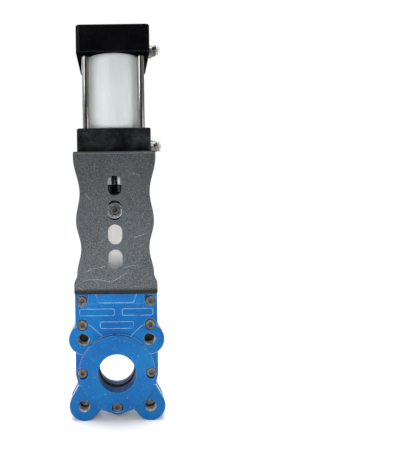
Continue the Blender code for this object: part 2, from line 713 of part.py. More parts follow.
def cut_ports(head, port_z, needle_z, chamber_z):
    """The air port, its passage to the chamber and the hole of the cushion needle."""
    outer_x = HEAD_HALF + PAST
    cut(head, bar(PORT_R + GAP, PORT_INNER_X, outer_x, axis="X", at=(PORT_Y, port_z), sides=FAIR))
    low, high = sorted((port_z, chamber_z))
    cut(head, bar(PASSAGE_R, low, high, at=(PORT_INNER_X + PASSAGE_R, PORT_Y), sides=SMALL))
    needle_end = HEAD_HALF - NEEDLE_LENGTH - 4.5 * MM
    cut(head, bar(NEEDLE_R + GAP, needle_end, outer_x, axis="X", at=(NEEDLE_Y, needle_z), sides=FAIR))


def cut_tie_holes(head, low, high):
    for x_sign in (-1, 1):
        for y_sign in (-1, 1):
            at = (TIE_XY * x_sign, TIE_XY * y_sign)
            cut(head, bar(TIE_R + 0.6 * MM, low, high, at=at, sides=SMALL))


def front_head():
    """The lower head, with the boss that centres it in the yoke and holds the rod bush and seal."""
    head = square_head(HEAD_BOTTOM, HEAD_TOP)
    boss = turned([(0.0, HEAD_BOTTOM + PAST), (BOSS_R, HEAD_BOTTOM + PAST),
                   (BOSS_R, BOSS_BOTTOM + 2.0 * MM), (BOSS_R - 2.0 * MM, BOSS_BOTTOM), (0.0, BOSS_BOTTOM)])
    join(head, boss)
    bush_bore = BUSH_R + GAP
    seal_bore = ROD_SEAL_R + GAP
    rod_bore = ROD_R + GAP
    above = HEAD_TOP + PAST
    below = BOSS_BOTTOM - PAST
    cut(head, turned([(0.0, above), (bush_bore, above), (bush_bore, BUSH_BOTTOM), (rod_bore, BUSH_BOTTOM),
                      (rod_bore, SEAL_TOP), (seal_bore, SEAL_TOP), (seal_bore, below), (0.0, below)]))
    cut(head, ring(TUBE_INNER_R - GAP, TUBE_OUTER_R + GAP, HEAD_TOP - TUBE_GROOVE, HEAD_TOP + PAST, LARGE))
    cut_tie_holes(head, HEAD_BOTTOM - PAST, HEAD_TOP + PAST)
    cut_ports(head, HEAD_PORT_Z, HEAD_NEEDLE_Z, HEAD_TOP + PAST)
    finish_part(head, "cylinder_front_head", "black_anodised")


def rear_cap():
    """The upper cap, with a cushion chamber inside and sunk tie rod nuts on top."""
    cap = square_head(CAP_BOTTOM, CAP_TOP)
    cut(cap, bar(CUSHION_CHAMBER_R, CAP_BOTTOM - PAST, CAP_BOTTOM + CUSHION_CHAMBER_DEPTH, sides=MEDIUM))
    cut(cap, ring(TUBE_INNER_R - GAP, TUBE_OUTER_R + GAP, CAP_BOTTOM - PAST, CAP_BOTTOM + TUBE_GROOVE, LARGE))
    cut_tie_holes(cap, CAP_BOTTOM - PAST, CAP_TOP + PAST)
    for x_sign in (-1, 1):
        for y_sign in (-1, 1):
            at = (TIE_XY * x_sign, TIE_XY * y_sign)
            cut(cap, bar(NUT_RECESS_R, CAP_TOP - NUT_RECESS_DEPTH, CAP_TOP + PAST, at=at, sides=FAIR))
    cut_ports(cap, CAP_PORT_Z, CAP_NEEDLE_Z, CAP_BOTTOM - PAST)
    finish_part(cap, "cylinder_rear_cap", "black_anodised")


def cylinder_tube():
    low = HEAD_TOP - TUBE_GROOVE + GAP
    high = CAP_BOTTOM + TUBE_GROOVE - GAP
    tube = ring(TUBE_INNER_R, TUBE_OUTER_R, low, high, LARGE)
    finish_part(tube, "cylinder_tube", "satin_aluminium", smooth=False)


def tie_rods():
    """Long rods that hold the cylinder together, each with the sunk nut screwed on its upper end."""
    number = 0
    for x_sign in (-1, 1):
        for y_sign in (-1, 1):
            number += 1
            at = (TIE_XY * x_sign, TIE_XY * y_sign)
            nut_low = CAP_TOP - NUT_RECESS_DEPTH + GAP
            nut_high = CAP_TOP - 1.5 * MM
            rod = bar(TIE_R, TIE_ROD_BOTTOM, nut_high - 2.5 * MM, at=at, sides=FAIR)
            nut = bar(hexagon_radius(TIE_NUT_FLATS), nut_low, nut_high, at=at, sides=6)
            socket = bar(hexagon_radius(TIE_SOCKET_FLATS), nut_high - 4.5 * MM, nut_high + PAST, at=at, sides=6)
            finish_part(cut(join(rod, nut), socket), f"tie_rod_{number}", "zinc_steel")


def rod_bush():
    bush = ring(ROD_R + GAP, BUSH_R, BUSH_BOTTOM + GAP, BUSH_TOP)
    finish_part(bush, "rod_bush", "bronze", smooth=False)


def rod_seal():
    seal = ring(ROD_R + GAP, ROD_SEAL_R, BOSS_BOTTOM + 0.5 * MM, SEAL_TOP - GAP)
    finish_part(seal, "rod_seal", "rubber", smooth=False)


# ---- moving parts ----

def piston_rod():
    """The rod: a thread into the clevis, two spanner flats, the bright bar and a stub for the piston."""
    profile = [(0.0, ROD_STUB_TOP), (ROD_THREAD_R, ROD_STUB_TOP), (ROD_THREAD_R, PISTON_BOTTOM),
               (ROD_R, PISTON_BOTTOM), (ROD_R, ROD_SHOULDER_Z + 1.0 * MM), (ROD_R - 1.0 * MM, ROD_SHOULDER_Z),
               (ROD_THREAD_R, ROD_SHOULDER_Z), (ROD_THREAD_R, ROD_THREAD_END), (0.0, ROD_THREAD_END)]
    rod = turned(profile, MEDIUM)
    for sign in (-1, 1):
        inner, outer = sorted((ROD_FLAT * sign, 20.0 * MM * sign))
        flat = box((inner, -20.0 * MM, ROD_SHOULDER_Z - PAST), (outer, 20.0 * MM, ROD_FLAT_TOP))
        flat.rotation_euler.z = math.radians(ROD_FLAT_TURN)
        cut(rod, flat)
    finish_part(rod, "piston_rod", "hard_chrome")


def lock_nut():
    """The round nut that locks the clevis on the rod's thread."""
    nut = ring(ROD_THREAD_R + GAP, LOCK_NUT_R, CLEVIS_TOP + GAP, ROD_SHOULDER_Z - GAP)
    finish_part(nut, "rod_lock_nut", "black_steel", smooth=False)


def piston():
    """The piston, with a groove for its seal."""
    groove_low, groove_high = PISTON_GROOVE
    outer = TUBE_INNER_R - GAP
    floor = TUBE_INNER_R - PISTON_GROOVE_DEPTH
    bore = ROD_THREAD_R + GAP
    body = turned([(outer, PISTON_TOP), (outer, groove_high), (floor, groove_high), (floor, groove_low),
                   (outer, groove_low), (outer, PISTON_BOTTOM + GAP), (bore, PISTON_BOTTOM + GAP),
                   (bore, PISTON_TOP)], LARGE, closed=True)
    finish_part(body, "piston", "satin_aluminium", smooth=False)
    seal = ring(floor + GAP, TUBE_INNER_R - 0.1 * MM, groove_low + GAP, groove_high - GAP, LARGE)
    finish_part(seal, "piston_seal", "rubber", smooth=False)


def piston_nut():
    low = PISTON_TOP + GAP
    nut = bar(hexagon_radius(24.0 * MM), low, low + 6.5 * MM, sides=6)
    hole = bar(ROD_THREAD_R + GAP, low - PAST, low + 9.0 * MM, sides=MEDIUM)
    finish_part(cut(nut, hole), "piston_nut", "zinc_steel")


def clevis():
    """The fork between the rod and the tongue of the gate."""
    block = box((-CLEVIS_HALF, -CLEVIS_HALF, CLEVIS_BOTTOM), (CLEVIS_HALF, CLEVIS_HALF, CLEVIS_TOP))
    round_edges(block, is_vertical, 4.0 * MM, 3)
    slot_y = GATE_HALF_THICK + GAP
    cut(block, box((-20.0 * MM, -slot_y, CLEVIS_BOTTOM - PAST), (20.0 * MM, slot_y, CLEVIS_SLOT_TOP)))
    cut(block, bar(ROD_THREAD_R + GAP, CLEVIS_SLOT_TOP - 2.0 * MM, CLEVIS_TOP + PAST, sides=MEDIUM))
    cut(block, bar(PIN_R + GAP, -20.0 * MM, 20.0 * MM, axis="Y", at=(0.0, PIN_Z), sides=FAIR))
    finish_part(block, "clevis", "black_steel")


def clevis_pin():
    """The socket head screw that pins the gate in the clevis, with its washers and nut."""
    at = (0.0, PIN_Z)
    washer_near = CLEVIS_HALF + GAP
    washer_far = washer_near + PIN_WASHER_THICK
    for name, side in HALVES.items():
        low, high = depths(side, washer_near, washer_far)
        washer = bar(PIN_WASHER_R, low, high, axis="Y", at=at, sides=FAIR)
        cut(washer, bar(PIN_R + GAP, low - PAST, high + PAST, axis="Y", at=at, sides=FAIR))
        finish_part(washer, f"pin_washer_{name}", "stainless")
    head_y = washer_far + GAP
    head_end = head_y + PIN_HEAD_HEIGHT
    pin = bar(PIN_R, PIN_END_Y, head_y + 1.0 * MM, axis="Y", at=at, sides=FAIR)
    join(pin, bar(PIN_HEAD_R, head_y, head_end, axis="Y", at=at, sides=FAIR))
    socket_r = hexagon_radius(PIN_SOCKET_FLATS)
    cut(pin, bar(socket_r, head_end - PIN_SOCKET_DEPTH, head_end + PAST, axis="Y", at=at, sides=6))
    finish_part(pin, "clevis_pin", "stainless")
    nut_end = -head_y - PIN_NUT_HEIGHT
    nut = bar(hexagon_radius(PIN_NUT_FLATS), nut_end, -head_y, axis="Y", at=at, sides=6)
    cut(nut, bar(PIN_R + GAP, nut_end - PAST, -head_y + PAST, axis="Y", at=at, sides=FAIR))
    finish_part(nut, "clevis_pin_nut", "zinc_steel")


# ---- air fittings and cushion needles ----

def push_fitting(name, z):
    """A straight push-in fitting in an air port, and the collar that releases its hose."""
    seat = HEAD_HALF + GAP
    at = (PORT_Y, z)
    hex_end = seat + FITTING_HEX_HEIGHT
    sleeve_end = seat + FITTING_SLEEVE_END
    fitting = bar(hexagon_radius(FITTING_HEX_FLATS), seat, hex_end, axis="X", at=at, sides=6)
    thread = bar(PORT_R, seat - FITTING_THREAD, seat + 1.0 * MM, axis="X", at=at, sides=FAIR)
    sleeve = bar(FITTING_SLEEVE_R, hex_end - 1.0 * MM, sleeve_end, axis="X", at=at, sides=FAIR)
    join(fitting, thread, sleeve)
    socket_floor = seat + FITTING_SOCKET_FLOOR
    cut(fitting, bar(FITTING_SOCKET_R, socket_floor, sleeve_end + PAST, axis="X", at=at, sides=FAIR))
    passage = (seat - FITTING_THREAD - PAST, socket_floor + PAST)
    cut(fitting, bar(FITTING_PASSAGE_R, *passage, axis="X", at=at, sides=SMALL))
    finish_part(fitting, f"air_fitting_{name}", "nickel_brass")
    flange = (seat + COLLAR_FLANGE_START, seat + COLLAR_END)
    collar = bar(COLLAR_R, seat + COLLAR_START, seat + COLLAR_FLANGE_START + 1.0 * MM, axis="X", at=at, sides=FAIR)
    join(collar, bar(COLLAR_FLANGE_R, *flange, axis="X", at=at, sides=FAIR))
    hose = (seat + COLLAR_START - PAST, seat + COLLAR_END + PAST)
    cut(collar, bar(HOSE_R, *hose, axis="X", at=at, sides=FAIR))
    finish_part(collar, f"release_collar_{name}", "grey_plastic")


def cushion_needle(name, z):
    """The slotted screw that sets the air cushion at one end of the stroke."""
    needle = bar(NEEDLE_R, -NEEDLE_LENGTH, 0.0, axis="X", sides=FAIR)
    slot = box((-1.6 * MM, -0.6 * MM, -6.0 * MM), (1.0 * MM, 0.6 * MM, 6.0 * MM))
    cut(needle, slot)
    place_tools(needle, (HEAD_HALF, NEEDLE_Y, z), (math.radians(NEEDLE_SLOT_TURN), 0.0, 0.0))
    finish_part(needle, f"cushion_needle_{name}", "nickel_brass")


def build_valve():
    for name in HALVES:
        body_half(name)
        seat_ring(name)
    body_gasket()
    body_screws()
    packing_rings()
    gland_follower()
    gland_fasteners()
    gate()
    yoke()
    yoke_screws()
    front_head()
    rear_cap()
    cylinder_tube()
    tie_rods()
    rod_bush()
    rod_seal()
    piston_rod()
    lock_nut()
    piston()
    piston_nut()
    clevis()
    clevis_pin()
    push_fitting("cap", CAP_PORT_Z)
    push_fitting("head", HEAD_PORT_Z)
    cushion_needle("cap", CAP_NEEDLE_Z)
    cushion_needle("head", HEAD_NEEDLE_Z)


build_valve()
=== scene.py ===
import json
import math

import bmesh
import bpy
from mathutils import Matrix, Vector
from mathutils.geometry import convex_hull_2d, tessellate_polygon


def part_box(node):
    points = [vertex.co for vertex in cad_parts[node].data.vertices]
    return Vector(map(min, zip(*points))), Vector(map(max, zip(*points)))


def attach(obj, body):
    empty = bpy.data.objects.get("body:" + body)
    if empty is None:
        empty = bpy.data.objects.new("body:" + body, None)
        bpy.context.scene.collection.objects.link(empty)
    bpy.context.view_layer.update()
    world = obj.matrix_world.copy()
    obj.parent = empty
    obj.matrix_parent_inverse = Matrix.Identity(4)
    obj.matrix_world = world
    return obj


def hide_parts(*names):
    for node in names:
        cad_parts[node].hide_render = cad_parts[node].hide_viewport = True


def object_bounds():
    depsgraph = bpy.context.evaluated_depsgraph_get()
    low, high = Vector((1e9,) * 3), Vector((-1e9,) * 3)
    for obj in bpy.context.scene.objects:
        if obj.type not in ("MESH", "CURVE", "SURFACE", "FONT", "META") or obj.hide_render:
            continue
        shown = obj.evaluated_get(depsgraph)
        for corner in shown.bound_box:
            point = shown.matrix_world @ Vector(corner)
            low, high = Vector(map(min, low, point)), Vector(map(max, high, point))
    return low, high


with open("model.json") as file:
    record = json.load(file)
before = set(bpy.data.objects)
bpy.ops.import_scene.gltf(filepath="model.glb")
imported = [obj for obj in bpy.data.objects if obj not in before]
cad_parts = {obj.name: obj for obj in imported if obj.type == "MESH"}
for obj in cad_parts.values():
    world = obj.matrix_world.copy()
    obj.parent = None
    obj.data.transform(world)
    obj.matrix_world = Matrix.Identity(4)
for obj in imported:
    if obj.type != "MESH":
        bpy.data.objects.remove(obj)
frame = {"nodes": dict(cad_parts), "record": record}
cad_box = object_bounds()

MM = 0.001
BODY_OF = {node: body for body, nodes in frame["record"]["behaviour"]["bodies"].items() for node in nodes}
TINY = 1e-6
SIDES = {"front": -1, "rear": 1}
QUARTERS = list(enumerate(((-1, -1), (-1, 1), (1, -1), (1, 1)), 1))


def low(node, axis):
    """The lowest coordinate of a CAD node along an axis, in millimetres."""
    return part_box(node)[0]["xyz".index(axis)] / MM


def high(node, axis):
    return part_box(node)[1]["xyz".index(axis)] / MM


# ---- shapes: lists of vertices and faces, in millimetres ----

def arc(centre, radius, start, end, steps):
    angles = [math.radians(start + (end - start) * i / steps) for i in range(steps + 1)]
    return [(centre[0] + radius * math.cos(a), centre[1] + radius * math.sin(a)) for a in angles]


def circle(x, y, radius, steps=48):
    return arc((x, y), radius, 0, 360 * (steps - 1) / steps, steps - 1)


def hexagon(across, turn=0.0, per_side=1):
    """A hexagon with extra points along its sides."""
    reach = across / math.sqrt(3)
    angles = [math.radians(60 * i + turn) for i in range(6)]
    corners = [(reach * math.cos(a), reach * math.sin(a)) for a in angles]
    return [tuple(a + (b - a) * k / per_side for a, b in zip(corners[i], corners[(i + 1) % 6]))
            for i in range(6) for k in range(per_side)]


def mirrored(points):
    return points + [(-x, y) for x, y in reversed(points)]


def area(loop):
    return sum(a[0] * b[1] - b[0] * a[1] for a, b in zip(loop, loop[1:] + loop[:1])) / 2


def inset(loop, distance):
    """The loop moved to its left, with mitred corners."""
    if abs(distance) < TINY:
        return list(loop)
    moved = []
    for i, point in enumerate(loop):
        before = Vector(point) - Vector(loop[i - 1])
        after = Vector(loop[(i + 1) % len(loop)]) - Vector(point)
        n1 = Vector((-before.y, before.x)).normalized()
        n2 = Vector((-after.y, after.x)).normalized()
        moved.append(tuple(Vector(point) + (n1 + n2) * distance / max(1 + n1.dot(n2), 0.3)))
    return moved


def rounded(points, radius, steps=4):
    """The closed outline with its corners rounded; radius is one number or one for each point."""
    out = []
    count = len(points)
    for i, point in enumerate(points):
        r = radius[i] if isinstance(radius, (list, tuple)) else radius
        if r <= 0:
            out.append(tuple(point))
            continue
        here = Vector(point)
        a = Vector(points[i - 1]) - here
        b = Vector(points[(i + 1) % count]) - here
        d = min(r, a.length * 0.49, b.length * 0.49)
        p, q = here + a.normalized() * d, here + b.normalized() * d
        for k in range(steps + 1):
            t = k / steps
            out.append(tuple(p * (1 - t) ** 2 + here * 2 * t * (1 - t) + q * t ** 2))
    return out


def prism(loops, start, end, soft_start=0.0, soft_end=0.0, steps=3):
    """A plate between two heights, with holes for further loops and rounded edges at either end."""
    loops = [loop if (area(loop) > 0) == (i == 0) else loop[::-1] for i, loop in enumerate(loops)]
    levels = []
    if soft_start:
        levels += [(start + soft_start * (1 - math.sin(a)), soft_start * (1 - math.cos(a)))
                   for a in (math.pi / 2 * k / steps for k in range(steps, 0, -1))]
    levels += [(start + soft_start, 0.0), (end - soft_end, 0.0)]
    if soft_end:
        levels += [(end - soft_end * (1 - math.sin(a)), soft_end * (1 - math.cos(a)))
                   for a in (math.pi / 2 * k / steps for k in range(1, steps + 1))]
    verts, faces = [], []
    count = sum(len(loop) for loop in loops)
    ends = []
    for height, distance in levels:
        ring = [inset(loop, distance) for loop in loops]
        ends.append(ring)
        verts += [(x, y, height) for loop in ring for x, y in loop]
    for level in range(len(levels) - 1):
        offset = level * count
        for loop in loops:
            n = len(loop)
            for k in range(n):
                a, b = offset + k, offset + (k + 1) % n
                faces.append((a, b, b + count, a + count))
            offset += n
    for base, ring in ((0, ends[0]), ((len(levels) - 1) * count, ends[-1])):
        for tri in tessellate_polygon([[Vector((x, y, 0.0)) for x, y in loop] for loop in ring]):
            faces.append(tuple(base + i for i in tri))
    return verts, faces


def lathe(profile, sides=48, closed=False):
    """A turned shape about Z from (radius, height) points."""
    verts, rings = [], []
    for r, z in profile:
        if r < TINY:
            rings.append([len(verts)] * sides)
            verts.append((0.0, 0.0, z))
        else:
            rings.append(list(range(len(verts), len(verts) + sides)))
            verts += [(r * math.cos(2 * math.pi * k / sides), r * math.sin(2 * math.pi * k / sides), z)
                      for k in range(sides)]
    faces = []
    pairs = list(zip(rings, rings[1:])) + ([(rings[-1], rings[0])] if closed else [])
    for a, b in pairs:
        for k in range(sides):
            n = (k + 1) % sides
            face = list(dict.fromkeys((a[k], a[n], b[n], b[k])))
            if len(face) > 2:
                faces.append(tuple(face))
    return verts, faces


def thread(radius, start, end, pitch, sides=24):
    """A screw thread as one helical surface with flat ends."""
    depth = pitch * 0.5
    rows = max(2, round((end - start) / pitch * 4))
    verts, faces = [(0.0, 0.0, start), (0.0, 0.0, end)], []
    for i in range(rows + 1):
        z = start + (end - start) * i / rows
        taper = min(1.0, (end - z) / pitch + 0.25, (z - start) / pitch + 0.25)
        for k in range(sides):
            phase = (z / pitch + k / sides) % 1.0
            r = radius - depth * (1 - abs(2 * phase - 1)) * 0.9 - (1 - max(taper, 0)) * depth
            a = 2 * math.pi * k / sides
            verts.append((r * math.cos(a), r * math.sin(a), z))
    for i in range(rows):
        for k in range(sides):
            a, b = 2 + i * sides + k, 2 + i * sides + (k + 1) % sides
            faces.append((a, b, b + sides, a + sides))
    last = 2 + rows * sides
    for k in range(sides):
        n = (k + 1) % sides
        faces += [(0, 2 + n, 2 + k), (1, last + k, last + n)]
    return verts, faces


def hex_body(across, start, end, hole=0.0, chamfer_start=True, turn=0.0):
    """A hexagonal nut or head whose corners are turned off to a cone."""
    outline = hexagon(across, turn=turn, per_side=8)
    crown_r = across / 2 * 0.965
    slope = math.tan(math.radians(28))
    crown = [(crown_r * x / math.hypot(x, y), crown_r * y / math.hypot(x, y)) for x, y in outline]
    drop = [(math.hypot(x, y) - crown_r) * slope for x, y in outline]
    rings = []
    if chamfer_start:
        rings.append([(x, y, start) for x, y in crown])
    rings.append([(x, y, start + (d if chamfer_start else 0)) for (x, y), d in zip(outline, drop)])
    rings.append([(x, y, end - d) for (x, y), d in zip(outline, drop)])
    rings.append([(x, y, end) for x, y in crown])
    if hole:
        mouth, bore = hole + 0.5, hole
        tops = [(mouth, end), (bore, end - 0.6), (bore, start + 0.6), (mouth, start)]
        rings += [[(r * x / math.hypot(x, y), r * y / math.hypot(x, y), z) for x, y in outline]
                  for r, z in tops]
    count = len(outline)
    verts = [v for ring in rings for v in ring]
    faces = []
    total = len(rings) if hole else len(rings) - 1
    for level in range(total):
        a0, b0 = level * count, (level + 1) % len(rings) * count
        for k in range(count):
            n = (k + 1) % count
            faces.append((a0 + k, a0 + n, b0 + n, b0 + k))
    if not hole:
        faces += [tuple(reversed(range(count))), tuple(range((len(rings) - 1) * count, len(rings) * count))]
    return verts, faces


def place(shape, axis="Z", at=(0.0, 0.0, 0.0), flip=False, spin=0.0):
    """Turn a shape that stands along Z onto another axis, and move it."""
    verts, faces = shape
    c, s = math.cos(math.radians(spin)), math.sin(math.radians(spin))
    out = []
    for x, y, z in verts:
        x, y = x * c - y * s, x * s + y * c
        z = -z if flip else z
        x, y, z = {"X": (z, x, y), "Y": (x, z, y), "Z": (x, y, z)}[axis]
        out.append((x + at[0], y + at[1], z + at[2]))
    return out, faces


# ---- pieces ----

def scene_object(name, data):
    obj = bpy.data.objects.new(name, data)
    bpy.context.scene.collection.objects.link(obj)
    return obj


def outward_mesh(name, verts, faces):
    """A mesh from millimetres, with its normals turned outwards."""
    mesh = bpy.data.meshes.new(name)
    mesh.from_pydata([Vector(v) * MM for v in verts], [], faces)
    bm = bmesh.new()
    bm.from_mesh(mesh)
    bmesh.ops.recalc_face_normals(bm, faces=bm.faces)
    bm.to_mesh(mesh)
    bm.free()
    return mesh


def piece(name, shapes, material, nodes):
    """One object made of shapes, standing for CAD nodes and riding on their body."""
    verts, faces = [], []
    for shape_verts, shape_faces in shapes:
        start = len(verts)
        verts += shape_verts
        faces += [tuple(start + i for i in face) for face in shape_faces]
    mesh = outward_mesh(name, verts, faces)
    mesh.shade_smooth()
    mesh.set_sharp_from_angle(angle=math.radians(35))
    obj = scene_object(name, mesh)
    mesh.materials.append(material)
    weighted = obj.modifiers.new("shading", "WEIGHTED_NORMAL")
    weighted.keep_sharp = True
    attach(obj, BODY_OF[nodes[0]])
    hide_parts(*nodes)


# ---- materials: fields in object coordinates that feed one shader each ----

class Finish:
    """A procedural material under construction."""

    def __init__(self, name, roughness, metallic=0.0, **constants):
        self.material = bpy.data.materials.new(name)
        self.material.use_nodes = True
        self.tree = self.material.node_tree
        self.shader = self.tree.nodes["Principled BSDF"]
        self.shader.inputs["Metallic"].default_value = metallic
        self.shader.inputs["Roughness"].default_value = roughness
        for socket, value in constants.items():
            self.shader.inputs[socket.replace("_", " ").title().replace("Ior", "IOR")].default_value = value
        self.coords = self.node("ShaderNodeTexCoord").outputs["Object"]

    def node(self, kind, links=(), **settings):
        made = self.tree.nodes.new(kind)
        for key, value in settings.items():
            setattr(made, key, value)
        for socket, source in dict(links).items():
            self.tree.links.new(source, made.inputs[socket])
        return made

    def noise(self, scale, detail=3.0, roughness=0.55, stretch=(1, 1, 1), turn=(0, 0, 0), shift=0.0):
        place_node = self.node("ShaderNodeMapping", {"Vector": self.coords}, vector_type="POINT")
        place_node.inputs["Scale"].default_value = stretch
        place_node.inputs["Rotation"].default_value = [math.radians(a) for a in turn]
        place_node.inputs["Location"].default_value = (shift, shift * 0.7, shift * 1.3)
        made = self.node("ShaderNodeTexNoise", {"Vector": place_node.outputs[0]}, noise_dimensions="3D")
        made.inputs["Scale"].default_value = scale
        made.inputs["Detail"].default_value = detail
        made.inputs["Roughness"].default_value = roughness
        return made.outputs["Fac"]

    def range(self, value, start, end, low_value=0.0, high_value=1.0):
        made = self.node("ShaderNodeMapRange", {"Value": value})
        made.inputs["From Min"].default_value = start
        made.inputs["From Max"].default_value = end
        made.inputs["To Min"].default_value = low_value
        made.inputs["To Max"].default_value = high_value
        return made.outputs["Result"]

    def split(self, vector):
        return self.node("ShaderNodeSeparateXYZ", {"Vector": vector}).outputs

    def normal(self):
        return self.node("ShaderNodeNewGeometry").outputs["Normal"]

    def math(self, operation, a, b=0.0):
        made = self.node("ShaderNodeMath", operation=operation)
        for socket, value in zip(made.inputs, (a, b)):
            if isinstance(value, (int, float)):
                socket.default_value = value
            else:
                self.tree.links.new(value, socket)
        return made.outputs[0]

    def times(self, a, b):
        return self.math("MULTIPLY", a, b)

    def mix(self, factor, a, b):
        made = self.node("ShaderNodeMix", {"Factor": factor}, data_type="RGBA")
        sockets = [s for s in made.inputs if s.type == "RGBA"]
        for socket, value in zip(sockets, (a, b)):
            if isinstance(value, tuple):
                socket.default_value = (*value, 1.0)
            else:
                self.tree.links.new(value, socket)
        return next(s for s in made.outputs if s.type == "RGBA")

    def edges(self, radius):
        """1 on the edges of the shape and 0 on its flats."""
        soft = self.node("ShaderNodeBevel", samples=6)
        soft.inputs["Radius"].default_value = radius
        sharp = self.normal()
        dot = self.node("ShaderNodeVectorMath", {0: soft.outputs[0], 1: sharp}, operation="DOT_PRODUCT")
        return self.range(dot.outputs["Value"], 0.995, 0.9)

    def cavity_shade(self, distance, darkest=0.0):
        """Painted shade mask: 1 on open faces, falling towards corners, sockets and gaps."""
        made = self.node("ShaderNodeAmbientOcclusion", samples=6)
        made.inputs["Distance"].default_value = distance
        return self.range(made.outputs["AO"], 0.25, 0.85, darkest, 1.0)

    def colour(self, value, shade_reach=0.004, darkest=0.25):
        # Darkens the colour towards black in corners, sockets and gaps: painted shade.
        shade = self.cavity_shade(shade_reach, darkest)
        self.tree.links.new(self.mix(shade, (0.0, 0.0, 0.0), value), self.shader.inputs["Base Color"])
        return self

    def link(self, value, socket):
        self.tree.links.new(value, self.shader.inputs[socket])

    def rough(self, value):
        self.link(value, "Roughness")
        return self

    def bump(self, height, distance, strength=1.0):
        made = self.node("ShaderNodeBump", {"Height": height})
        made.inputs["Distance"].default_value = distance
        made.inputs["Strength"].default_value = strength
        self.tree.links.new(made.outputs[0], self.shader.inputs["Normal"])
        return self


def blue_paint(name, deep, light, dust):
    """Thick glossy enamel on a casting: orange peel, dust, chipped edges, lighter edges for thin paint and a
    painted highlight, painted shade inside the bore and in corners, and a painted highlight on the bore's far
    rim.
    """
    f = Finish(name, 0.3, specular_ior_level=0.1, coat_roughness=0.06)
    base = f.mix(f.range(f.noise(22, 4), 0.35, 0.7), deep, light)
    # Lighter, noise-broken edges: thin paint and a painted highlight along the edges.
    thin_paint_and_highlight = f.times(f.edges(0.0012), f.range(f.noise(90, 3, shift=3.0), 0.26, 0.52))
    base = f.mix(f.times(thin_paint_and_highlight, 0.8), base, (0.28, 0.5, 0.76))
    chip = f.times(f.edges(0.0009), f.range(f.noise(420, 2, shift=5.0), 0.66, 0.7))
    base = f.mix(chip, base, (0.45, 0.48, 0.5))
    specks = f.range(f.noise(800, 1, shift=2.0), 0.73, 0.77)
    clouds = f.range(f.noise(45, 5, 0.7, shift=8.0), 0.62, 0.85, 0.0, dust)
    base = f.mix(f.math("ADD", f.times(specks, 0.45), clouds), base, (0.5, 0.6, 0.68))
    parts = f.split(f.coords)
    squares = f.math("ADD", f.math("POWER", parts["X"], 2.0), f.math("POWER", parts["Z"], 2.0))
    bore = f.range(f.math("SQRT", squares), 0.0254, 0.0251)
    # Darker inside the bore: painted shade.
    base = f.mix(f.times(bore, 0.6), base, (0.001, 0.024, 0.12))
    # A lighter band on the far rim of the bore: painted highlight.
    far_rim_highlight = f.times(bore, f.range(parts["Y"], 0.0155, 0.0185))
    base = f.mix(far_rim_highlight, base, (0.16, 0.24, 0.36))
    turned = f.split(f.normal())["Y"]
    # Near black on the lug faces that face the other half across the gap.
    gap_faces = f.times(f.range(f.math("ABSOLUTE", parts["Y"]), 0.0048, 0.0043),
                   f.range(f.math("ABSOLUTE", turned), 0.8, 0.95))
    f.colour(f.mix(gap_faces, base, (0.01, 0.016, 0.024)), 0.0025, 0.5)
    patches = f.range(f.noise(60, 4, shift=1.0), 0.3, 0.75, 0.14, 0.3)
    f.rough(f.math("ADD", patches, f.times(bore, 0.4)))
    shine = f.math("ADD", f.times(f.edges(0.0016), 0.7), 0.04)
    f.link(f.times(shine, f.range(bore, 0.0, 1.0, 1.0, 0.1)), "Coat Weight")
    peel = f.math("ADD", f.noise(330, 2), f.times(f.noise(60, 2, shift=4.0), 2.0))
    return f.bump(peel, 0.00022, 0.6).material


SCRATCHES = [[(-41, 129), (-33, 131.2), (-21, 131), (-6, 127.6), (2, 131.5), (13.5, 138.5)],
             [(-38, 140), (-29, 144), (-13, 147)], [(8.6, 145), (17, 146.8), (28, 148.2)],
             [(-46, 121.5), (-40, 117.8)], [(20, 262), (31, 258.5)], [(-36, 236), (-30, 229)],
             [(24, 182), (37, 186.5)]]


def scratches(f, parts):
    """Long drawn scratches on the yoke's outer faces, each a chain of straight strokes."""
    marks = 0.0
    wobble = f.times(f.math("SUBTRACT", f.noise(160, 2, shift=11.0), 0.5), 0.0022)
    height = f.math("ADD", parts["Z"], wobble)
    for chain in SCRATCHES:
        for (x0, z0), (x1, z1) in zip(chain, chain[1:]):
            slope = (z1 - z0) / (x1 - x0)
            line = f.math("ADD", f.times(parts["X"], slope), (z0 - slope * x0) * MM)
            away = f.math("ABSOLUTE", f.math("SUBTRACT", height, line))
            near = f.range(away, 0.00045 * math.hypot(1, slope), 0.00005)
            inside = f.times(f.range(parts["X"], (x0 - 0.3) * MM, (x0 + 0.1) * MM),
                            f.range(parts["X"], (x1 + 0.3) * MM, (x1 - 0.1) * MM))
            marks = f.math("MAXIMUM", f.times(near, inside), marks)
    return f.times(marks, f.range(f.noise(130, 3, 0.7, shift=6.5), 0.34, 0.6, 0.15, 1.0))


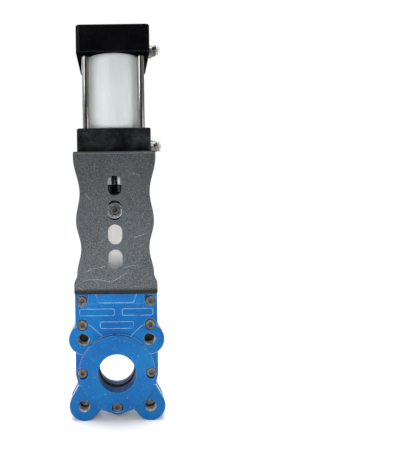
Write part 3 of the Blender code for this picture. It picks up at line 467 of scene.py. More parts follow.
def yoke_paint():
    """Satin dark grey powder coat with fine speckle, light rubs and long scratches; painted shade on the
    bends, the inner faces, towards the top and in corners.
    """
    f = Finish("yoke_paint", 0.5, specular_ior_level=0.2)
    grain = f.noise(700, 3, 0.8)
    fine = f.noise(1500, 2, 0.7, shift=1.5)
    mixed = f.math("ADD", f.times(grain, 0.6), f.times(fine, 0.4))
    base = f.mix(f.range(mixed, 0.4, 0.62), (0.015, 0.018, 0.021), (0.092, 0.101, 0.109))
    light = f.range(mixed, 0.585, 0.64)
    base = f.mix(f.times(light, 0.55), base, (0.28, 0.3, 0.32))
    base = f.mix(f.range(f.noise(26, 5, 0.65), 0.4, 0.75, 0.0, 0.35), base, (0.085, 0.092, 0.098))
    rub = f.range(f.noise(60, 3, 0.6, (1, 1, 14), (8, 0, 0), shift=2.0), 0.69, 0.72)
    base = f.mix(f.times(rub, 0.25), base, (0.24, 0.25, 0.26))
    worn = f.times(f.edges(0.0009), f.range(f.noise(120, 3, shift=9.0), 0.45, 0.62))
    base = f.mix(f.times(worn, 0.6), base, (0.28, 0.285, 0.29))
    parts = f.split(f.coords)
    outside = f.range(f.math("ABSOLUTE", parts["Y"]), 0.0675, 0.068)
    base = f.mix(f.times(f.times(scratches(f, parts), outside), 0.6), base, (0.36, 0.38, 0.4))
    # Near black on the two bends and on the inner faces: painted shade.
    bend_shade = f.math("MAXIMUM", f.range(parts["Z"], 0.1203, 0.1166), f.range(parts["Z"], 0.2865, 0.2875))
    inside = f.range(f.math("ABSOLUTE", parts["Y"]), 0.0655, 0.0645)
    base = f.mix(f.math("MAXIMUM", bend_shade, f.times(inside, 0.88)), base, (0.006, 0.0055, 0.005))
    # Darker towards the top of the outer faces: painted shade.
    upper_shade = f.times(f.range(parts["Z"], 0.17, 0.29, 0.0, 0.34), outside)
    base = f.mix(upper_shade, base, (0.006, 0.007, 0.008))
    f.colour(base)
    patches = f.range(f.noise(90, 3, shift=5.0), 0.3, 0.7, 0.42, 0.62)
    f.rough(f.math("ADD", patches, f.times(inside, 0.35)))
    return f.bump(f.math("ADD", grain, f.noise(420, 2)), 0.00012, 0.7).material


def black_gloss(name, base_colour, roughness, dust, marks):
    """Hard black finish on machined aluminium: soft smudges, fine scratches, paler edges as a painted
    highlight, and painted shade in corners.
    """
    f = Finish(name, roughness, specular_ior_level=0.0, coat_roughness=roughness)
    base = f.mix(f.range(f.noise(30, 4), 0.4, 0.8), base_colour, tuple(c * 2.2 for c in base_colour))
    hair = f.range(f.noise(50, 2, 0.5, (1, 1, 22), (12, 0, 4)), 0.68, 0.7)
    hair2 = f.range(f.noise(60, 2, 0.5, (20, 18, 1), (0, 10, 30), shift=4.0), 0.7, 0.715)
    base = f.mix(f.times(f.math("MAXIMUM", hair, hair2), marks), base, (0.11, 0.11, 0.115))
    cloud = f.range(f.noise(48, 6, 0.7, shift=7.0), 0.42, 0.8, 0.0, dust)
    base = f.mix(cloud, base, (0.3, 0.34, 0.37))
    # Paler edges: painted highlight.
    f.colour(f.mix(f.times(f.edges(0.0012), 0.45), base, (0.1, 0.105, 0.12)))
    f.rough(f.range(f.noise(70, 4, shift=2.0), 0.3, 0.75, roughness * 0.75, roughness * 1.5))
    facing = f.split(f.normal())["Z"]
    f.link(f.range(facing, -0.9, -0.4, 0.0, 0.12), "Coat Weight")
    return f.bump(f.noise(1200, 2), 0.00002, 0.5).material


def metal(name, dark, light, roughness, stretch=(1, 1, 1), scale=120.0, grain=0.00002, metallic=1.0,
          stain=0.15, stain_colour=(0.16, 0.13, 0.1), rim=1.25, highlight_radius=0.0006):
    """Bare or plated metal with a tool direction, tarnish, brighter edges as a painted highlight, and painted
    shade in corners.
    """
    f = Finish(name, roughness, metallic)
    streak = f.noise(scale, 4, 0.65, stretch)
    base = f.mix(f.range(streak, 0.35, 0.68), dark, light)
    base = f.mix(f.range(f.noise(55, 5, 0.7, shift=3.0), 0.55, 0.8, 0.0, stain), base, stain_colour)
    # Lighter edges: painted highlight.
    highlight_colour = tuple(min(c * rim, 0.98) for c in light)
    f.colour(f.mix(f.times(f.edges(highlight_radius), 0.7), base, highlight_colour))
    wear = f.noise(scale * 1.5, 3, 0.6, stretch, shift=5.0)
    f.rough(f.range(wear, 0.3, 0.7, roughness * 0.7, roughness * 1.35))
    return f.bump(f.noise(scale * 3, 3, 0.6, stretch, shift=9.0), grain, 0.6).material


def rubber(name, dark, light, roughness):
    f = Finish(name, roughness)
    f.colour(f.mix(f.range(f.noise(300, 3), 0.35, 0.7), dark, light))
    f.rough(f.range(f.noise(150, 3, shift=2.0), 0.3, 0.7, roughness * 0.8, roughness * 1.2))
    return f.bump(f.noise(1500, 2), 0.00003, 0.5).material


def packing_cord():
    """Braided packing: two crossed sets of fine ridges."""
    f = Finish("packing", 0.8)
    one = f.noise(260, 1, 0.5, (1, 1, 6), (0, 0, 45))
    two = f.noise(260, 1, 0.5, (6, 1, 1), (0, 45, 0), shift=3.0)
    weave = f.math("MAXIMUM", one, two)
    f.colour(f.mix(f.range(weave, 0.45, 0.65), (0.3, 0.28, 0.24), (0.66, 0.63, 0.55)))
    f.rough(f.range(weave, 0.3, 0.7, 0.9, 0.7))
    return f.bump(weave, 0.0002, 0.8).material


BLUE = blue_paint("blue_paint", (0.002, 0.074, 0.245), (0.003, 0.112, 0.302), 0.05)
BLUE_DUSTY = blue_paint("blue_paint_dusty", (0.003, 0.085, 0.27), (0.01, 0.13, 0.34), 0.5)
YOKE = yoke_paint()
BLACK = black_gloss("black_anodised", (0.0015, 0.0015, 0.002), 0.2, 0.006, 0.08)
BLACK_DUSTY = black_gloss("black_anodised_dusty", (0.003, 0.0035, 0.004), 0.28, 0.085, 0.15)
TUBE = metal("satin_aluminium", (0.54, 0.575, 0.57), (0.57, 0.605, 0.6), 0.5, (6, 6, 1), 40, 0.000003,
             metallic=0.3, stain=0.03, stain_colour=(0.5, 0.52, 0.51))
GATE = metal("gate_stainless", (0.9, 0.89, 0.86), (0.97, 0.97, 0.95), 0.4, (9, 1, 1), 40, 0.00001,
             metallic=0.08, stain=0.05)
SCREW = metal("screw_stainless", (0.03, 0.03, 0.029), (0.13, 0.13, 0.127), 0.2, grain=0.00001, metallic=0.45,
              stain=0.3, stain_colour=(0.04, 0.04, 0.04), rim=7.0, highlight_radius=0.0007)
ZINC = metal("zinc_steel", (0.24, 0.25, 0.27), (0.55, 0.58, 0.62), 0.36, metallic=0.8, scale=160,
             stain=0.35, stain_colour=(0.12, 0.12, 0.12))
BOLT = metal("black_steel", (0.09, 0.09, 0.092), (0.27, 0.27, 0.275), 0.34, metallic=0.8, stain=0.3,
             stain_colour=(0.05, 0.04, 0.03))
TIE = metal("tie_rod_steel", (0.26, 0.255, 0.245), (0.38, 0.375, 0.365), 0.12, (6, 6, 1), 90, 0.000004,
            stain=0.2, stain_colour=(0.1, 0.1, 0.1))
CHROME = metal("rod_chrome", (0.22, 0.225, 0.24), (0.34, 0.35, 0.37), 0.2, (5, 5, 1), 120, 0.000003,
               stain=0.1)
ROD = metal("black_rod", (0.012, 0.012, 0.014), (0.035, 0.035, 0.038), 0.14, (5, 5, 1), 120, 0.000005,
            metallic=0.9, stain=0.1, stain_colour=(0.02, 0.02, 0.02))
CLEVIS = metal("clevis_black", (0.012, 0.012, 0.013), (0.05, 0.05, 0.053), 0.22, (6, 6, 1), 110,
               metallic=0.8, stain=0.3, stain_colour=(0.02, 0.018, 0.016))
BRASS = metal("nickel_brass", (0.05, 0.045, 0.04), (0.24, 0.225, 0.2), 0.22,
              stain=0.5, stain_colour=(0.04, 0.03, 0.02))
WASHER = metal("bright_washer", (0.5, 0.5, 0.5), (0.85, 0.85, 0.84), 0.25, metallic=0.35, stain=0.2)
NEEDLE = metal("needle_nickel", (0.35, 0.34, 0.32), (0.85, 0.84, 0.82), 0.22, metallic=0.6, stain=0.2)
BRONZE = metal("bronze", (0.32, 0.18, 0.07), (0.5, 0.3, 0.12), 0.35)
IRON = metal("tapped_iron", (0.13, 0.128, 0.125), (0.5, 0.49, 0.47), 0.3, metallic=0.6,
             stain=0.5, stain_colour=(0.05, 0.05, 0.05), rim=1.9)
RUBBER = rubber("rubber", (0.008, 0.008, 0.009), (0.03, 0.03, 0.032), 0.6)
COLLAR = rubber("collar_plastic", (0.62, 0.62, 0.56), (0.78, 0.78, 0.72), 0.4)
COLLAR_BLUE = rubber("collar_blue", (0.02, 0.25, 0.6), (0.04, 0.34, 0.7), 0.4)
PACKING = packing_cord()


def repaint(node, material):
    """Give a CAD node that stays in view its finish."""
    mesh = frame["nodes"][node].data
    mesh.materials.clear()
    mesh.materials.append(material)
    for polygon in mesh.polygons:
        polygon.material_index = 0


# ---- body ----

BORE = 25.0
SCREWS = [(-46.0, 95.5), (46.0, 95.5), (-45.5, 63.7), (45.5, 63.7), (-46.0, 0.0), (46.0, 0.0), (0.0, -46.0)]
LUG = 125.0 / 2 / math.sqrt(2)
TOP = high("body_front", "z")
PLATE = 17.3
SIDE = 55.4
TIP = -57.0
FACE = 23.0
LUG_FACE = 18.3
LUG_R = 20.0
LUG_HOLE_R = 7.7
LOWER_LUG_NEAR = 4.0
COUNTERBORE_R = 7.5
SEAT_R = 30.0
REAR_SEAT_LIP = 23.7
BLANK_PADS = ((-49.0, -2.5, 76.0, 84.6), (8.0, 49.0, 76.0, 84.6), (-21.5, 22.5, 58.7, 67.3))


def body_outline():
    right = [(1.0, TIP)] + arc((0.0, 0.0), 54.5, -66, -18, 24)
    return mirrored(right + [(SIDE, -3.0), (SIDE, TOP - 1.2), (SIDE - 1.2, TOP)])


def screw_holes(radius):
    return [circle(x, z, radius, 32) for x, z in SCREWS]


def upper_lug_holes():
    return [circle(LUG * s, LUG, LUG_HOLE_R, 40) for s in (-1, 1)]


def raised_face(notch_r):
    """The round sealing face, open at its rim where three screws sit."""
    radius = 50.75
    centre = 46.0
    cross = (radius ** 2 - notch_r ** 2 + centre ** 2) / (2 * centre)
    half = math.degrees(math.asin(math.sqrt(radius ** 2 - cross ** 2) / radius))
    turn = math.degrees(math.atan2(math.sqrt(radius ** 2 - cross ** 2), cross - centre))
    loop = []
    for start, end in ((0, 180), (180, 270), (270, 360)):
        steps = int((end - start) / 3)
        loop += arc((0, 0), radius, start + half, end - half, steps)
        middle = (centre * math.cos(math.radians(end)), centre * math.sin(math.radians(end)))
        loop += arc(middle, notch_r, end - turn, end - 360 + turn, 24)[1:-1]
    return loop


def lug_pad(sx, sz):
    """A round bolt lug drawn in to the raised face, clear of the screw above it."""
    if sz > 0:
        corners = [(36.0, 62.5), (20.0, 49.0), (16.0, 34.0)]
    else:
        corners = [(51.6, -16.8), (22.4, -49.8), (24.0, -24.0)]
    points = circle(LUG, LUG * sz, LUG_R, 60) + corners
    hull = [points[i] for i in convex_hull_2d(points)]
    dense = []
    for a, b in zip(hull, hull[1:] + hull[:1]):
        count = max(1, int(math.dist(a, b) / 0.7))
        dense += [(a[0] + (b[0] - a[0]) * k / count, a[1] + (b[1] - a[1]) * k / count) for k in range(count)]
    (cx, cz), r = SCREWS[3], COUNTERBORE_R
    out = []
    for x, z in dense:
        if sz > 0 and abs(x - cx) < r and z > cz - math.sqrt(r * r - (x - cx) ** 2):
            z = cz - math.sqrt(r * r - (x - cx) ** 2)
        out.append((x * sx, z))
    return [out, circle(LUG * sx, LUG * sz, LUG_HOLE_R, 40)]


def shoulder(flip):
    """The bracket for a foot of the yoke: rounded outer corners, a sloping underside, a blank panel."""
    plan = rounded([(36.0, 12.0), (36.0, 50.7), (-36.0, 50.7), (-36.0, 12.0)], [0, 5.0, 5.0, 0], 6)
    verts, faces = prism([plan], 94.2, TOP, 1.6, 0.9, 4)
    verts = [(x, y, z + max(0.0, (y - 13.3) * 0.068) * (1.0 if z < 103 else 0.0)) for x, y, z in verts]
    if flip:
        verts = [(x, -y, z) for x, y, z in verts]
    panel = rounded([(22.0, 99.2), (26.0, 110.7), (-26.0, 110.7), (-22.0, 99.2)], 1.5)
    return [(verts, faces), place(prism([panel], 49.0, 52.5, 0.0, 0.7), "Y", flip=flip)]


def tapped_hole(minor, outer, start, end, pitch):
    """The thread cut in a hole, as a thin sleeve with a helical inside."""
    sides = 32
    rows = round((end - start) / pitch * 4)
    verts, faces = [], []
    for i in range(rows + 1):
        z = start + (end - start) * i / rows
        for k in range(sides):
            phase = (z / pitch + k / sides) % 1.0
            mouth = max(0.0, 1.0 - min(z - start, end - z) / 1.2) * 0.7
            r = minor + (outer - minor) * 0.85 * abs(2 * phase - 1) + mouth
            a = 2 * math.pi * k / sides
            verts.append((min(r, outer) * math.cos(a), min(r, outer) * math.sin(a), z))
    for i in range(rows):
        for k in range(sides):
            a, b = i * sides + k, i * sides + (k + 1) % sides
            faces.append((a, a + sides, b + sides, b))
    return verts, faces


def body_half(name):
    flip = SIDES[name] < 0
    bore = circle(0, 0, BORE, 96)
    plate = prism([body_outline(), bore] + screw_holes(4.3) + upper_lug_holes(), 0.62, PLATE, 0.2, 1.1, 4)
    slot = arc((0, 0), 34.0, 180, 360, 40) + [(34.0, 90.0), (-34.0, 90.0)]
    chamber = [(36.0, TOP + 2.0), (36.0, 82.0), (-36.0, 82.0), (-36.0, TOP + 2.0)]
    tools = [prism([slot], -1.0, 3.2), prism([chamber], -1.0, 7.5),
             prism([circle(0, 0, 30.3, 96)], -1.0, 8.2)]
    if flip:
        tools += [prism([circle(x, z, COUNTERBORE_R, 40)], 11.3, 20.0) for x, z in SCREWS]
    face = [raised_face(COUNTERBORE_R if flip else 5.0), bore]
    layers = [carved(plate, tools), prism(face, PLATE - 2.0, FACE, 0.0, 1.0, 4)]
    for x0, x1, z0, z1 in BLANK_PADS:
        pad = rounded([(x0, z0), (x1, z0), (x1, z1), (x0, z1)], 2.5, 5)
        layers.append(prism([pad], PLATE - 0.5, PLATE + 0.5, 0.0, 0.45, 3))
    for sx in (-1, 1):
        layers.append(prism(lug_pad(sx, 1), 0.95, LUG_FACE, 0.3, 1.0, 4))
        layers.append(prism(lug_pad(sx, -1), LOWER_LUG_NEAR, LUG_FACE, 0.8, 1.0, 4))
    shapes = [place(s, "Y", flip=flip) for s in layers] + shoulder(flip)
    piece(f"body_{name}_casting", shapes, BLUE, [f"body_{name}"])
    threads = []
    for sx in (-1, 1):
        for sz, near in ((1, 0.95), (-1, LOWER_LUG_NEAR)):
            sleeve = tapped_hole(6.7, 7.75, near, 18.2, 2.0)
            threads.append(place(sleeve, "Y", (LUG * sx, 0.0, LUG * sz), flip))
    piece(f"body_{name}_threads", threads, IRON, [f"body_{name}"])
    lip = BORE if flip else REAR_SEAT_LIP
    seat = lathe([(SEAT_R, 3.1), (SEAT_R, 7.9), (BORE, 7.9), (lip, 6.9), (lip, 3.6), (lip + 0.5, 3.1)],
                 96, True)
    finish = BLUE if flip else RUBBER
    piece(f"seat_{name}", [place(seat, "Y", flip=flip)], finish, [f"seat_ring_{name}"])


def socket_head(radius, height, across, depth, soft=0.5):
    """A socket head that stands on zero, with a chamfered rim and a drilled socket."""
    rim = prism([circle(0, 0, radius, 48), hexagon(across, per_side=4)], height - depth, height, 0.0, soft, 3)
    floor = height - depth
    base = lathe([(0.0, floor - 0.9), (across * 0.45, floor + 0.02), (radius, floor + 0.02),
                  (radius, 0.3), (radius - 0.3, 0.0), (0.0, 0.0)], 48)
    return [rim, base]


def body_screws():
    for number, (x, z) in enumerate(SCREWS, 1):
        node = f"body_screw_{number}"
        at = (x, -11.6, z)
        shapes = [place(s, "Y", at, True, number * 37) for s in socket_head(6.5, 8.0, 6.0, 4.0)]
        shapes.append(place(thread(4.0, -30.9, 0.2, 1.25), "Y", at, True))
        piece(f"{node}_socket_head", shapes, SCREW, [node])


# ---- gland and gate ----

def gland():
    spigot = [(35.7, -7.2), (35.7, 7.2), (-35.7, 7.2), (-35.7, -7.2)]
    slot = [(32.35, -3.1), (32.35, 3.1), (-32.35, 3.1), (-32.35, -3.1)]
    plate = rounded([(42.0, -24.5), (42.0, 24.5), (-42.0, 24.5), (-42.0, -24.5)], 7.5, 8)
    shapes = [prism([plate, slot], 122.5, 130.5, 0.8, 1.2, 4),
              prism([spigot, slot], low("gland_follower", "z"), 122.6)]
    piece("gland_plate", shapes, BLUE_DUSTY, ["gland_follower"])
    for number, (sx, sy) in QUARTERS:
        at = (26.0 * sx, 15.0 * sy, 0.0)
        stud = place(thread(4.0, 93.0, 145.5, 1.25, sides=28), at=at)
        piece(f"gland_stud_{number}_threaded", [stud], ZINC, [f"gland_stud_{number}"])
        washer = lathe([(4.3, 130.8), (7.7, 130.8), (8.0, 131.1), (8.0, 132.1), (7.7, 132.4), (4.3, 132.4)],
                       40, True)
        nut = hex_body(13.0, 132.4, 138.9, 4.3, turn=14 * number)
        piece(f"gland_nut_{number}_chamfered", [place(s, at=at) for s in (washer, nut)], ZINC,
              [f"gland_nut_{number}"])


PIN_Z = 216.5


def gate():
    outline = arc((0.0, 58.0), 32.0, 180, 360, 48) + [(32.0, 184.0), (11.0, 194.5), (11.0, 231.0)]
    outline += [(-11.0, 231.0), (-11.0, 194.5), (-32.0, 184.0)]
    blade = prism([outline, circle(0.0, PIN_Z, 5.3, 32)], -2.75, 2.75, 0.5, 0.5)
    piece("gate_blade", [place(blade, "Y")], GATE, ["gate"])


# ---- yoke: laid out flat, then folded ----

YOKE_LOW = 112.0
YOKE_HIGH = 289.7
DEPTH = 68.3
THICK = 5.0
BEND = 6.5
FOOT_END = 22.0
EDGE = [(112.0, 51.4), (125.0, 51.4), (138.0, 47.3), (169.0, 42.1), (203.0, 48.1), (238.0, 43.3),
        (282.0, 51.0), (289.7, 51.0)]
WINDOWS = (155.0, 186.0, 216.0, 246.5)
WINDOW_R = 8.7
WINDOW_REACH = 3.6
FOOT_BOLT_X, FOOT_BOLT_Y = 25.0, 41.5
CYLINDER_BOLT = 36.0


def edge_at(z):
    for (z0, w0), (z1, w1) in zip(EDGE, EDGE[1:]):
        if z <= z1 + 0.001:
            return w0 + (w1 - w0) * (1 - math.cos(math.pi * max(z - z0, 0.0) / (z1 - z0))) / 2
    return EDGE[-1][1]


FOOT_RUN = DEPTH - BEND - FOOT_END
ARC_RUN = BEND * math.pi / 2
WALL_RUN = YOKE_HIGH - YOKE_LOW - 2 * BEND
WEB_RUN = 2 * (DEPTH - BEND)
RUNS = [FOOT_RUN, ARC_RUN, WALL_RUN, ARC_RUN, WEB_RUN, ARC_RUN, WALL_RUN, ARC_RUN, FOOT_RUN]
STARTS = [sum(RUNS[:i]) for i in range(len(RUNS) + 1)]


def fold(s):
    """Where a distance along the outer face of the folded plate lies, and the way out of it, in Y and Z."""
    index = max(i for i in range(len(RUNS)) if s >= STARTS[i] - 1e-9)
    t = s - STARTS[index]
    y, z = -FOOT_END, YOKE_LOW
    turned_by = 0.0
    for i in range(index + 1):
        run = t if i == index else RUNS[i]
        if i % 2 == 0:
            y += -math.cos(turned_by) * run
            z += math.sin(turned_by) * run
        else:
            a = run / BEND
            cy = y + math.sin(turned_by) * BEND
            cz = z + math.cos(turned_by) * BEND
            turned_by += a
            y = cy - math.sin(turned_by) * BEND
            z = cz - math.cos(turned_by) * BEND
    return y, z, (-math.sin(turned_by), -math.cos(turned_by))


def yoke():
    total = STARTS[-1]
    count = 230
    right = [(edge_at(fold(total * i / count)[1]), total * i / count) for i in range(count + 1)]
    outline = right + [(-x, s) for x, s in reversed(right)]
    holes = []
    for wall in (2, 6):
        for z in WINDOWS:
            up = z - YOKE_LOW - BEND
            centre = STARTS[wall] + (up if wall == 2 else WALL_RUN - up)
            holes.append(arc((0, centre + WINDOW_REACH), WINDOW_R, 0, 180, 20)
                         + arc((0, centre - WINDOW_REACH), WINDOW_R, 180, 360, 20))
    middle = total / 2
    holes.append(circle(0, middle, 23.5, 64))
    for sx in (-1, 1):
        for side in (-1, 1):
            holes.append(circle(CYLINDER_BOLT * sx, middle + CYLINDER_BOLT * side, 5.5, 24))
        holes.append(circle(FOOT_BOLT_X * sx, FOOT_BOLT_Y - FOOT_END, 6.5, 24))
        holes.append(circle(FOOT_BOLT_X * sx, total - (FOOT_BOLT_Y - FOOT_END), 6.5, 24))
    flat_shape = prism([outline] + holes, 0.0, THICK, 0.6, 0.6, 2)
    mesh = bpy.data.meshes.new("yoke_flat")
    mesh.from_pydata(flat_shape[0], [], flat_shape[1])
    bm = bmesh.new()
    bm.from_mesh(mesh)
    for index in (1, 3, 5, 7):
        for k in range(9):
            cut_at = STARTS[index] + ARC_RUN * k / 8
            geom = bm.verts[:] + bm.edges[:] + bm.faces[:]
            bmesh.ops.bisect_plane(bm, geom=geom, dist=1e-5, plane_co=(0, cut_at, 0), plane_no=(0, 1, 0))
    verts = []
    for v in bm.verts:
        y, z, (ny, nz) = fold(min(max(v.co.y, 0.0), total))
        verts.append((v.co.x, y - ny * v.co.z, z - nz * v.co.z))
    bm.verts.index_update()
    faces = [tuple(v.index for v in f.verts) for f in bm.faces]
    bm.free()
    bpy.data.meshes.remove(mesh)
    piece("yoke_folded_plate", [(verts, faces)], YOKE, ["yoke"])


def yoke_fasteners():
    for number, (sx, sy) in QUARTERS:
        foot, screw = f"foot_screw_{number}", f"cylinder_screw_{number}"
        at = (FOOT_BOLT_X * sx, FOOT_BOLT_Y * sy, low(foot, "z") + 19.0)
        flat = lathe([(6.3, 0.0), (11.2, 0.0), (11.5, 0.3), (11.5, 1.1), (11.2, 1.4), (6.3, 1.4)], 48, True)
        spring = lathe([(6.3, 1.45), (9.0, 1.45), (9.3, 1.75), (9.3, 2.35), (9.0, 2.6), (6.3, 2.6)], 48, True)
        head = hex_body(18.0, 2.6, 11.1, turn=20 * number + 7, chamfer_start=False)
        shank = thread(6.0, -19.0, 2.0, 1.75)
        bolt = [place(s, at=at) for s in (flat, head, shank)]
        piece(f"foot_bolt_{number}", bolt, BOLT, [foot])
        piece(f"foot_spring_washer_{number}", [place(spring, at=at)], ZINC, [foot])
        at = (CYLINDER_BOLT * sx, CYLINDER_BOLT * sy, high(screw, "z") - 19.0)
        washer = lathe([(5.3, 0.0), (9.2, 0.0), (9.5, 0.3), (9.5, 1.7), (9.2, 2.0), (5.3, 2.0)], 48, True)
        head = hex_body(16.0, 2.0, 8.4, turn=33 * number, chamfer_start=False)
        shank = thread(5.0, -19.0, 1.0, 1.5)
        bolt = [place(s, at=at, flip=True) for s in (washer, head, shank)]
        piece(f"cylinder_bolt_{number}", bolt, ZINC, [screw])


# ---- cylinder ----

HALF = 47.8
HEAD_LOW, HEAD_HIGH = 290.0, 322.0
CAP_LOW, CAP_HIGH = 420.0, 456.1
TIE_ROD = 36.0
PORT_Y, NEEDLE_Y = -11.0, 11.0
PORT_Z = {"cap": 434.0, "head": 302.5}
NEEDLE_Z = {"cap": 431.5, "head": 313.0}


def square():
    return rounded([(HALF, -HALF), (HALF, HALF), (-HALF, HALF), (-HALF, -HALF)], 6.5, 8)


def carved(shape, tools):
    """A closed shape with other closed shapes cut out of it, as a shape again."""
    block = scene_object("block", outward_mesh("block", *shape))
    cutters = [scene_object("tool", outward_mesh("tool", *tool)) for tool in tools]
    for cutter in cutters:
        modifier = block.modifiers.new("carve", "BOOLEAN")
        modifier.object = cutter
        modifier.operation = "DIFFERENCE"
        modifier.solver = "EXACT"
    bpy.context.view_layer.update()
    graph = bpy.context.evaluated_depsgraph_get()
    made = bpy.data.meshes.new_from_object(block.evaluated_get(graph))
    verts = [tuple(v.co / MM) for v in made.vertices]
    faces = [tuple(f.vertices) for f in made.polygons]
    for obj in [block] + cutters:
        bpy.data.objects.remove(obj)
    return verts, faces


def needle_hole(name):
    profile = [(0.0, -10.0), (4.5, -10.0), (4.5, -0.8), (5.3, 0.5), (0.0, 0.5)]
    return place(lathe(profile, 40), "X", (HALF, NEEDLE_Y, NEEDLE_Z[name]))


def port_hole(name):
    profile = [(0.0, -10.0), (6.7, -10.0), (6.7, -1.0), (8.4, 0.5), (0.0, 0.5)]
    return place(lathe(profile, 40), "X", (HALF, PORT_Y, PORT_Z[name]))


def heads():
    block = carved(prism([square()], HEAD_LOW, HEAD_HIGH, 1.0, 1.2, 4),
                   [needle_hole("head"), port_hole("head")])
    piece("cylinder_lower_head", [block], BLACK_DUSTY, ["cylinder_front_head"])
    boss = lathe([(0.0, 291.0), (23.0, 291.0), (23.0, 270.0), (22.4, 268.6), (21.0, 268.0), (17.2, 268.0),
                  (16.8, 268.5), (16.8, 272.0), (0.0, 272.0)], 96)
    piece("cylinder_rod_boss", [boss], BLACK, ["cylinder_front_head"])
    recess = lathe([(0.0, 447.1), (8.5, 447.1), (8.5, 455.3), (9.4, 456.6), (0.0, 456.6)], 40)
    tools = [place(recess, at=(TIE_ROD * sx, TIE_ROD * sy, 0.0)) for _, (sx, sy) in QUARTERS]
    tools += [needle_hole("cap"), port_hole("cap")]
    block = carved(prism([square()], CAP_LOW, CAP_HIGH, 1.0, 1.8, 5), tools)
    piece("cylinder_upper_head", [block], BLACK, ["cylinder_rear_cap"])


def tube_and_rods():
    tube = lathe([(43.0, HEAD_HIGH), (43.0, CAP_LOW), (40.0, CAP_LOW), (40.0, HEAD_HIGH)], 160, True)
    piece("cylinder_barrel", [tube], TUBE, ["cylinder_tube"])
    for number, (sx, sy) in QUARTERS:
        bar = lathe([(0.0, 306.5), (4.75, 306.5), (4.75, 450.0), (0.0, 450.0)], 40)
        nut = hex_body(14.0, 447.4, 454.6, 3.4, chamfer_start=False, turn=11 * number)
        plug = lathe([(0.0, 450.0), (3.6, 450.1), (3.6, 448.0), (0.0, 448.0)], 32)
        shapes = [place(s, at=(TIE_ROD * sx, TIE_ROD * sy, 0.0)) for s in (bar, nut, plug)]
        piece(f"tie_bar_{number}", shapes, TIE, [f"tie_rod_{number}"])


def rod_and_clevis():
    flats = [(max(-10.5, min(10.5, x)), y) for x, y in circle(0, 0, 12.5, 120)]
    c, s = math.cos(math.radians(35)), math.sin(math.radians(35))
    flats = [(x * c - y * s, x * s + y * c) for x, y in flats]
    shapes = [prism([flats], 252.0, 260.5, 0.7, 0.0),
              lathe([(0.0, 260.4), (11.6, 260.4), (12.5, 261.4), (12.5, 396.0), (0.0, 396.0)], 96),
              thread(8.0, 234.6, 252.2, 1.5, sides=28),
              lathe([(0.0, 396.0), (8.0, 396.0), (8.0, 425.5), (0.0, 425.5)], 32)]
    piece("rod_bar", shapes, CHROME, ["piston_rod"])
    nut = lathe([(8.3, 241.3), (11.4, 241.3), (12.2, 242.1), (12.2, 250.9), (11.4, 251.7), (8.3, 251.7)],
                96, True)
    piece("rod_round_nut", [nut], ROD, ["rod_lock_nut"])
    shapes = [prism([rounded([(14, -14), (14, 14), (-14, 14), (-14, -14)], 6.0, 8)], 232.0, 241.0, 0.0, 0.8)]
    for sy in (-1, 1):
        cheek = rounded([(14, 3.05 * sy), (14, 14 * sy), (-14, 14 * sy), (-14, 3.05 * sy)],
                        [0.4, 6.0, 6.0, 0.4], 8)
        shapes.append(prism([cheek], 203.0, 232.0, 0.8, 0.0))
    piece("clevis_fork", shapes, CLEVIS, ["clevis"])
    centre = (0, 0, PIN_Z)
    for name, sy in SIDES.items():
        washer = lathe([(5.3, 14.3), (10.2, 14.3), (10.5, 14.6), (10.5, 15.6), (10.2, 15.9), (5.3, 15.9)],
                       48, True)
        piece(f"pin_washer_{name}_turned", [place(washer, "Y", centre, sy < 0)], WASHER,
              [f"pin_washer_{name}"])
    pin = [place(s, "Y", (0, 16.2, PIN_Z), spin=12) for s in socket_head(8.0, 8.3, 8.0, 5.0, 0.7)]
    pin += [place(lathe([(0, -16.0), (5.0, -16.0), (5.0, 16.4), (0, 16.4)], 32), "Y", centre),
            place(thread(5.0, -26.0, -15.5, 1.5), "Y", centre)]
    piece("clevis_pin_screw", pin, SCREW, ["clevis_pin"])
    nut = hex_body(16.0, 16.2, 23.6, 5.3, turn=8)
    piece("clevis_pin_hex_nut", [place(nut, "Y", centre, True)], ZINC, ["clevis_pin_nut"])


def fittings():
    for name, z in PORT_Z.items():
        at = (HALF, PORT_Y, z)
        nipple = hex_body(17.0, 0.3, 5.8, 5.5)
        sleeve = lathe([(7.9, 4.5), (7.9, 6.3), (7.6, 8.6), (6.9, 10.4), (6.3, 11.1), (5.6, 11.1),
                        (5.5, 4.5)], 56, True)
        screw = lathe([(0.0, -8.7), (6.4, -8.7), (6.4, 1.0), (0.0, 1.0)], 32)
        piece(f"fitting_{name}_nickel", [place(s, "X", at) for s in (nipple, sleeve, screw)], BRASS,
              [f"air_fitting_{name}"])
        collar = lathe([(4.6, 15.2), (6.5, 15.2), (6.9, 14.8), (6.9, 13.3), (6.5, 13.0), (5.2, 13.0),
                        (5.2, 6.3), (4.1, 6.3), (4.1, 15.3)], 56, True)
        nodes = [f"release_collar_{name}"]
        piece(f"collar_{name}_plastic", [place(collar, "X", at)], COLLAR, nodes)
        lip = lathe([(4.15, 15.6), (4.5, 15.75), (4.8, 15.4), (4.8, 15.0), (4.15, 11.3)], 56, True)
        piece(f"collar_{name}_ring", [place(lip, "X", at)], COLLAR_BLUE, nodes)
    for name, z in NEEDLE_Z.items():
        rim = lathe([(0.0, -9.5), (4.2, -9.5), (4.2, -1.0), (3.6, -0.1), (1.5, -0.1), (1.5, -2.0),
                     (0.0, -2.0)], 40)
        piece(f"needle_{name}_screw", [place(rim, "X", (HALF, NEEDLE_Y, z))], NEEDLE,
              [f"cushion_needle_{name}"])


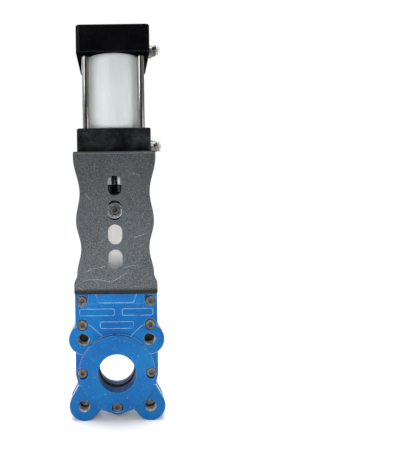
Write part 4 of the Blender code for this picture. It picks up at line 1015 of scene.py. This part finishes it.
def stage():
    floor_z = cad_box[0].z
    mesh = bpy.data.meshes.new("floor")
    reach = 40.0
    corners = [(x * reach, y * reach, floor_z) for x, y in ((-1, -1), (1, -1), (1, 1), (-1, 1))]
    mesh.from_pydata(corners, [], [(0, 1, 2, 3)])
    floor = scene_object("floor", mesh)
    material = bpy.data.materials.new("floor")
    material.use_nodes = True
    shader = material.node_tree.nodes["Principled BSDF"]
    shader.inputs["Base Color"].default_value = (0.86, 0.86, 0.86, 1.0)
    shader.inputs["Roughness"].default_value = 0.7
    mesh.materials.append(material)
    world = bpy.data.worlds.new("studio")
    bpy.context.scene.world = world
    world.use_nodes = True
    nodes = world.node_tree.nodes

    def node(kind, links=(), **settings):
        made = nodes.new(kind)
        for key, value in settings.items():
            made.inputs[key.replace("_", " ").title()].default_value = value
        for socket, source in dict(links).items():
            world.node_tree.links.new(source, made.inputs[socket])
        return made

    path = node("ShaderNodeLightPath").outputs
    direction = node("ShaderNodeTexCoord").outputs["Generated"]
    stretched = node("ShaderNodeMapping", {"Vector": direction}, scale=(1.0, 1.0, 0.15)).outputs[0]
    panels = node("ShaderNodeTexNoise", {"Vector": stretched}, scale=5.0, detail=0.0).outputs["Fac"]
    panels = node("ShaderNodeMapRange", {"Value": panels}, from_min=0.42, from_max=0.58, to_min=0.25,
                  to_max=1.15).outputs[0]
    depth = node("ShaderNodeSeparateXYZ", {"Vector": direction}).outputs["Y"]
    behind = node("ShaderNodeMapRange", {"Value": depth}, from_min=-0.9, from_max=-0.3, to_min=0.15,
                  to_max=1.0).outputs[0]
    mirrored_light = node("ShaderNodeMath", {0: panels, 1: behind})
    mirrored_light.operation = "MULTIPLY"
    ambient = node("ShaderNodeBackground", color=(0.97, 0.985, 1.0, 1.0), strength=0.3)
    reflected = node("ShaderNodeBackground", {"Strength": mirrored_light.outputs[0]},
                     color=(1.0, 1.0, 1.0, 1.0))
    seen = node("ShaderNodeBackground", color=(1.0, 1.0, 1.0, 1.0), strength=1.0)
    unseen = node("ShaderNodeMixShader",
                  {0: path["Is Glossy Ray"], 1: ambient.outputs[0], 2: reflected.outputs[0]})
    shown = node("ShaderNodeMixShader", {0: path["Is Camera Ray"], 1: unseen.outputs[0], 2: seen.outputs[0]})
    world.node_tree.links.new(shown.outputs[0], nodes["World Output"].inputs[0])
    lamps = (("key", (-0.75, -0.95, 0.95), 0.5, 3.4), ("fill", (1.1, -0.7, 0.35), 0.6, 2.2),
             ("near", (-0.03, -0.36, 0.11), 0.16, 1.0), ("top", (0.1, 0.1, 1.6), 1.2, 3.0),
             ("back", (-0.3, 1.2, 0.9), 0.7, 6.0), ("side", (-1.2, 0.3, 0.4), 0.4, 4.0),
             ("right", (1.4, 0.3, 0.45), 0.6, 7.0))
    for name, place_at, size, power in lamps:
        lamp = bpy.data.lights.new(name, "AREA")
        lamp.size = size
        lamp.energy = power
        obj = scene_object(name, lamp)
        obj.location = place_at
        aim = Vector((0, 0, min(0.2, place_at[2]))) - Vector(place_at)
        obj.rotation_euler = aim.to_track_quat("-Z", "Y").to_euler()
        obj.visible_camera = False
        obj.visible_glossy = name not in ("near", "side", "right")
    overhead = bpy.data.lights.new("overhead", "SUN")
    overhead.energy = 3.0
    overhead.angle = math.radians(40)
    scene_object("overhead", overhead)
    bpy.context.scene.view_settings.view_transform = "Standard"


def camera():
    data = bpy.data.cameras.new("camera")
    data.lens = 35.55
    data.sensor_width = 36.0
    data.shift_x = 0.1945
    data.shift_y = -0.0238
    data.clip_end = 100.0
    obj = scene_object("camera", data)
    obj.location = (0.0, -0.615, 0.2038)
    obj.rotation_euler = (math.pi / 2 + 0.013, 0.014, 0.0)
    bpy.context.scene.camera = obj


camera()
stage()
for half in SIDES:
    body_half(half)
body_screws()
gland()
gate()
yoke()
yoke_fasteners()
heads()
tube_and_rods()
rod_and_clevis()
fittings()
for node, material in (("body_gasket", RUBBER), ("packing_ring_lower", PACKING),
                       ("packing_ring_middle", PACKING), ("packing_ring_upper", PACKING),
                       ("rod_bush", BRONZE), ("rod_seal", RUBBER), ("piston", TUBE),
                       ("piston_seal", RUBBER), ("piston_nut", ZINC)):
    repaint(node, material)

bpy.context.view_layer.update()
